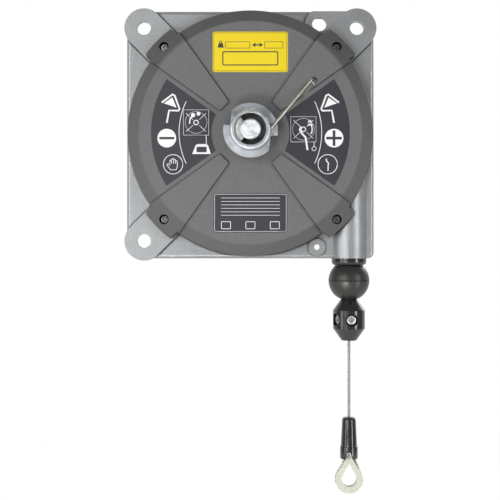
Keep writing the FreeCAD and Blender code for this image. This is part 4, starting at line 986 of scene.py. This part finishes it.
def apply_modifier(piece, kind, **settings):
    modifier = piece.modifiers.new(kind.lower(), kind)
    for name, value in settings.items():
        setattr(modifier, name, value)
    pick(piece)
    bpy.ops.object.modifier_apply(modifier=modifier.name)


def socket_screw(name, place, head, height, socket, shank, length, turn=0.0):
    """A screw whose head stands forward from its place, turned about the upright axis."""
    screw = cylinder(name, head, -height, 0)
    apply_modifier(screw, "BEVEL", width=0.5 * MM, segments=3, limit_method="ANGLE")
    hexagon = cylinder("hexagon", socket, -height - 1, -height * 0.35, sides=6)
    apply_modifier(screw, "BOOLEAN", operation="DIFFERENCE", object=hexagon, solver="EXACT")
    bpy.data.objects.remove(hexagon)
    screw = joined(name, [screw, cylinder("shank", shank, 0, length)])
    screw.matrix_world = Matrix.Translation(place) @ Matrix.Rotation(math.radians(turn), 4, "Z")
    keep_place(screw)
    return smooth(screw, 40)


# Both screw finishes get painted shade in their sockets.
BLACK_ZINC = make_plain("black_zinc", grey(0.10), grey(0.5), 0.9, 0.2, scale=500, shade_reach=1.5 * MM)
BRIGHT_ZINC = make_plain("bright_zinc", grey(0.2), grey(0.95), 0.9, 0.3, scale=700, shade_reach=2 * MM)
COVER_SCREW = {"head": 3.8, "height": 3.2, "socket": 2.0, "shank": 2.4, "length": 14}
CLAMP_SCREW = {"head": 4.7, "height": 3.0, "socket": 2.4, "shank": 3.4, "length": 7}
SCREW_SEAT = -60 * MM
for side, left in (("left", -1), ("right", 1)):
    for end, low in (("bottom", -1), ("top", 1)):
        place = (left * SCREW_PLACE, SCREW_SEAT, low * SCREW_PLACE)
        screw = socket_screw(f"{end}_{side}_screw", place, **COVER_SCREW)
        paint_piece(screw, BLACK_ZINC)
        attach(screw, "housing")
        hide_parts(f"cover_screw_{end}_{side}")

CLAMP_SCREW_Z = -185.7 * MM
CLAMP_SEAT = 10.1 * MM
for name, node, turn in (
    ("front_clamp_screw", "clamp_screw_front", 6.0),
    ("side_clamp_screw", "clamp_screw_side", -66.0),
):
    angle = math.radians(turn)
    forward = Vector((math.sin(angle), -math.cos(angle), 0))
    place = Vector((ROPE_X, ROPE_Y, CLAMP_SCREW_Z)) + forward * CLAMP_SEAT
    screw = socket_screw(name, place, **CLAMP_SCREW, turn=turn)
    paint_piece(screw, BRIGHT_ZINC)
    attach(screw, "rope_end")
    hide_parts(node)
print("socket screws modelled")

# %% [markdown]
# A raised pad joins the upper hole to the lug beside it. It is as high as the lug's strap and ends in
# a round boss on the left, with the cover's rim below it. Its outline is two arcs and two straight
# edges, with a short arc round the lug and the hole cut out. A small bevel eases its edges.


# %% Pad round the upper hole
PLATE_FACE = 52 * MM
PAD_HEIGHT = 3 * MM
PAD_TOP = 123.2
COVER_EDGE = 121.9
PAD_ROUND = 14.4
LUG_CENTRE = (106.5, 106.5)
LUG_RADIUS = 19.6
BOSS_MEETS_COVER = 186.8
COVER_ARC = (63.3, 54.3)
STRAP_MEETS_LUG = 135

first_turn = 180 - math.degrees(math.asin((PAD_TOP - PAD_HOLE[1]) / PAD_ROUND))
last_turn = 180 - math.degrees(math.asin((PAD_TOP - LUG_CENTRE[1]) / LUG_RADIUS))
pad_outline = arc(PAD_HOLE, PAD_ROUND, first_turn, BOSS_MEETS_COVER)
pad_outline += arc((0, 0), COVER_EDGE, *COVER_ARC)
pad_outline += arc(LUG_CENTRE, LUG_RADIUS, STRAP_MEETS_LUG, last_turn, 6)
pad = film("upper_pad", [pad_outline, circle(PAD_HOLE, PAD_HOLE_RADIUS)], PAD_HEIGHT)
stand_up(pad, PLATE_FACE + PAD_HEIGHT / 2)
apply_modifier(pad, "BEVEL", width=0.3 * MM, segments=2, limit_method="ANGLE")
paint_piece(pad, FINISHES["cast_aluminium"])
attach(pad, "housing")
print("pad modelled")

# %% [markdown]
# The wire lock is a spring wire, bent back round its pin inside the cover, that leans over the
# ratchet ring. Its line is a NURBS curve in the upright plane along the slot, given by how far it is
# from the pin towards the drum's axis and how far it stands forward. A slight bow shows its tension.

# %% Wire lock
WIRE_PIN = Vector((59.5, 0, 50.9)) * MM
WIRE_ANGLE = math.radians(51.15)
WIRE_RADIUS = 1.3 * MM
WIRE_PROFILE = [(11, 69.4), (4, 69.4), (-1.6, 69.4), (-2.6, 71.6), (-1.4, 73.6), (4, 75.2)]
WIRE_PROFILE += [(16, 79.5), (32, 84.8), (48, 89.6), (64, 94.2)]

inward = Vector((-math.cos(WIRE_ANGLE), 0, -math.sin(WIRE_ANGLE)))
wire_route = [WIRE_PIN + inward * (s * MM) - Vector((0, depth * MM, 0)) for s, depth in WIRE_PROFILE]
wire_line = nurbs_line("wire_line", wire_route)
wire_points, _ = points_of(wire_line)
bpy.data.objects.remove(wire_line)
spring_wire = smooth(tube("spring_wire", wire_points, WIRE_RADIUS, sides=5), 60)
paint_piece(spring_wire, FINISHES["spring_steel"])
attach(spring_wire, "wire_lock")
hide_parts("wire_lock")
print("spring wire:", len(spring_wire.data.polygons), "faces")

# %% [markdown]
# The rope's eye lies in the thimble's groove, so it is laid from the same strands as the hanging
# rope. Its line goes down one leg, round the bottom and up the other leg. A quadratic NURBS touches
# the middles of its control polygon's sides, so points on a slightly larger circle give the true one.

# %% Rope eye
EYE_RADIUS = 11.85
EYE_CENTRE = -347.4
EYE_LEG = 1.55
EYE_TOP = -310.8
EYE_START = 36.0
EYE_STEPS = 9

step = (180 + 2 * (90 - EYE_START)) / EYE_STEPS
wide = EYE_RADIUS / math.cos(math.radians(step / 2))
first_turn = EYE_START - step / 2
last_turn = first_turn - step * (EYE_STEPS - 1)
round_part = arc((0, EYE_CENTRE), wide, first_turn, last_turn, EYE_STEPS - 1)
right_leg = [(EYE_LEG, EYE_TOP), (EYE_LEG, EYE_TOP - 7.0), (4.4, -325.5)]
eye_route = right_leg + round_part + [(-x, z) for x, z in reversed(right_leg)]
eye_line = nurbs_line("eye_line", [(ROPE_X + x * MM, ROPE_Y, z * MM) for x, z in eye_route])
eye_points, eye_length = points_of(eye_line)
bpy.data.objects.remove(eye_line)
eye_rope = stranded("eye_rope", eye_points)
paint_piece(eye_rope, FINISHES["steel_rope"])
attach(eye_rope, "rope_end")
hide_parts("rope_eye")
print("rope eye:", round(eye_length / MM, 1), "mm")

# %% [markdown]
# The end sleeve is moulded in black polymer over the crimp. It widens downward to a raised lip, and
# a notch in the lip clears the thimble. Its section is drawn point by point and spun round the rope,
# and a wedge-shaped prism cuts the notch through both walls.

# %% Turned section
SPIN_STEPS = 56


def spun(name, section, place):
    """Spins a closed section of (radius, height) millimetres about an upright axis."""
    first = (section[0][0] * MM, 0, section[0][1] * MM)
    bpy.ops.mesh.primitive_plane_add(size=1 * MM, location=(0, 0, 0))
    piece = bpy.context.object
    piece.name = name
    bpy.ops.object.mode_set(mode="EDIT")
    bpy.ops.mesh.select_all(action="SELECT")
    bpy.ops.mesh.merge(type="CENTER")
    bpy.ops.transform.translate(value=first)
    for before, after in zip(section, section[1:] + section[:1]):
        move = ((after[0] - before[0]) * MM, 0, (after[1] - before[1]) * MM)
        bpy.ops.mesh.extrude_region_move(TRANSFORM_OT_translate={"value": move})
    bpy.ops.mesh.select_all(action="SELECT")
    bpy.ops.mesh.remove_doubles(threshold=0.001 * MM)
    bpy.ops.mesh.spin(steps=SPIN_STEPS, angle=2 * math.pi, center=(0, 0, 0), axis=(0, 0, 1))
    bpy.ops.mesh.select_all(action="SELECT")
    bpy.ops.mesh.remove_doubles(threshold=0.001 * MM)
    bpy.ops.mesh.normals_make_consistent(inside=False)
    bpy.ops.object.mode_set(mode="OBJECT")
    piece.location = place
    keep_place(piece)
    return piece


# %% End sleeve
SLEEVE_BOTTOM = -326.3 * MM
SLEEVE_SECTION = [(7.6, 0), (8.7, 0), (8.9, 0.6), (8.9, 11.4), (8.6, 12.2), (8.2, 12.4), (6.95, 38.4)]
SLEEVE_SECTION += [(6.5, 40.2), (5.6, 41.2), (4.4, 41.5), (1.55, 41.5), (1.55, 35.5), (4.45, 35.5)]
SLEEVE_SECTION += [(4.45, 15.5), (7.6, 12.5)]
NOTCH_HALF_WIDTH = 4.8
NOTCH_HEIGHT = 6.8
NOTCH_TIP = 0.9

moulded_sleeve = spun("moulded_sleeve", SLEEVE_SECTION, (ROPE_X, ROPE_Y, SLEEVE_BOTTOM))
notch_outline = [(-NOTCH_HALF_WIDTH, -1), (NOTCH_HALF_WIDTH, -1)]
notch_outline += [(NOTCH_TIP, NOTCH_HEIGHT), (-NOTCH_TIP, NOTCH_HEIGHT)]
notch = stand_up(film("notch", [notch_outline], 24 * MM), 0)
notch.location = (ROPE_X, ROPE_Y, SLEEVE_BOTTOM)
keep_place(notch)
apply_modifier(moulded_sleeve, "BOOLEAN", operation="DIFFERENCE", object=notch, solver="EXACT")
bpy.data.objects.remove(notch)
smooth(moulded_sleeve, 35)
paint_piece(moulded_sleeve, FINISHES["black_polymer"])
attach(moulded_sleeve, "rope_end")
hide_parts("end_sleeve")
print("end sleeve:", len(moulded_sleeve.data.polygons), "faces")

# %% [markdown]
# A white studio: a pale floor below the reach of the fully drawn rope, and a world that is paper
# white where the camera or a transmitted ray looks at it. Polished metal shows the white behind the
# object, but the side that the camera stands on is dim, as in a real studio. No extra light on the
# object makes the white. The five lamps are soft boxes: one large in front on the left, a strip on
# either side, a small one below, and one behind for the rear.

# %% Floor
FLOOR_Z = -2.95
ROOM = 30.0
GLOW_STRENGTH = 1.03
GLOW_SHARE = 0.96

paper = Paint("paper_white")
seen = sum(
    (
        paper.node("ShaderNodeLightPath", out=kind)
        for kind in ("Is Camera Ray", "Is Glossy Ray", "Is Transmission Ray")
    ),
    start=0.0,
)
glow = paper.node("ShaderNodeEmission", None, {"Color": (1, 1, 1, 1), "Strength": GLOW_STRENGTH})
surface = Value(paper, paper.shader.outputs[0])
floor_look = paper.node("ShaderNodeMixShader", None, {0: seen * GLOW_SHARE, 1: surface, 2: glow})
paper.connect(paper.tree.nodes["Material Output"].inputs["Surface"], floor_look)
paper.set(Base_Color=(0.9, 0.9, 0.9, 1), Roughness=0.9)
bpy.ops.mesh.primitive_plane_add(size=ROOM, location=(0, 0, FLOOR_Z))
studio_floor = bpy.context.object
studio_floor.name = "studio_floor"
paint_piece(studio_floor, paper.material)

# %% World
ROOM_LIGHT = 0.24

world = bpy.data.worlds.new("studio")
bpy.context.scene.world = world
world.use_nodes = True
room = Wiring(world.node_tree)
heading = room.node("ShaderNodeTexCoord", out="Generated")
behind = room.node("ShaderNodeSeparateXYZ", None, {"Vector": heading}, out="Y").smooth(0.0, 0.5)
camera_ray, glossy_ray, transmitted_ray = (
    room.node("ShaderNodeLightPath", out=kind)
    for kind in ("Is Camera Ray", "Is Glossy Ray", "Is Transmission Ray")
)
white = camera_ray + transmitted_ray + glossy_ray * behind
sky = world.node_tree.nodes["Background"]
sky.inputs["Color"].default_value = (1, 1, 1, 1)
room.connect(sky.inputs["Strength"], white * (1 - ROOM_LIGHT) + ROOM_LIGHT)
print("floor and world ready")


# %% Soft boxes
def soft_box(name, place, aim, size, power):
    """A rectangular lamp that points at a place on the object."""
    lamp = bpy.data.lights.new(name, "AREA")
    lamp.shape = "RECTANGLE"
    lamp.size, lamp.size_y = size
    lamp.energy = power
    box = bpy.data.objects.new(name, lamp)
    box.location = place
    towards = Vector(aim) - Vector(place)
    box.rotation_euler = towards.to_track_quat("-Z", "Y").to_euler()
    bpy.context.scene.collection.objects.link(box)


soft_box("front_box", (-1.0, -1.8, 0.3), (0, 0, -0.05), (1.0, 1.0), 14)
soft_box("left_strip", (-1.1, -0.8, 0.0), (0, 0, -0.05), (0.25, 1.2), 4)
soft_box("right_strip", (1.0, -0.9, -0.1), (0.05, 0, -0.1), (0.12, 1.2), 7)
soft_box("low_box", (-0.35, -1.0, -0.58), (0, 0, -0.1), (0.4, 0.25), 6)
soft_box("rear_box", (1.4, 1.8, 1.0), (0, 0, -0.05), (1.0, 1.0), 12)
print("studio ready")

# %% [markdown]
# The hanging rope is the part's one free cord. It leaves the clamp, hangs straight and ends in a
# fitting, so the sleeve, the eye, the ferrule and the thimble go with it. The lesson ends.
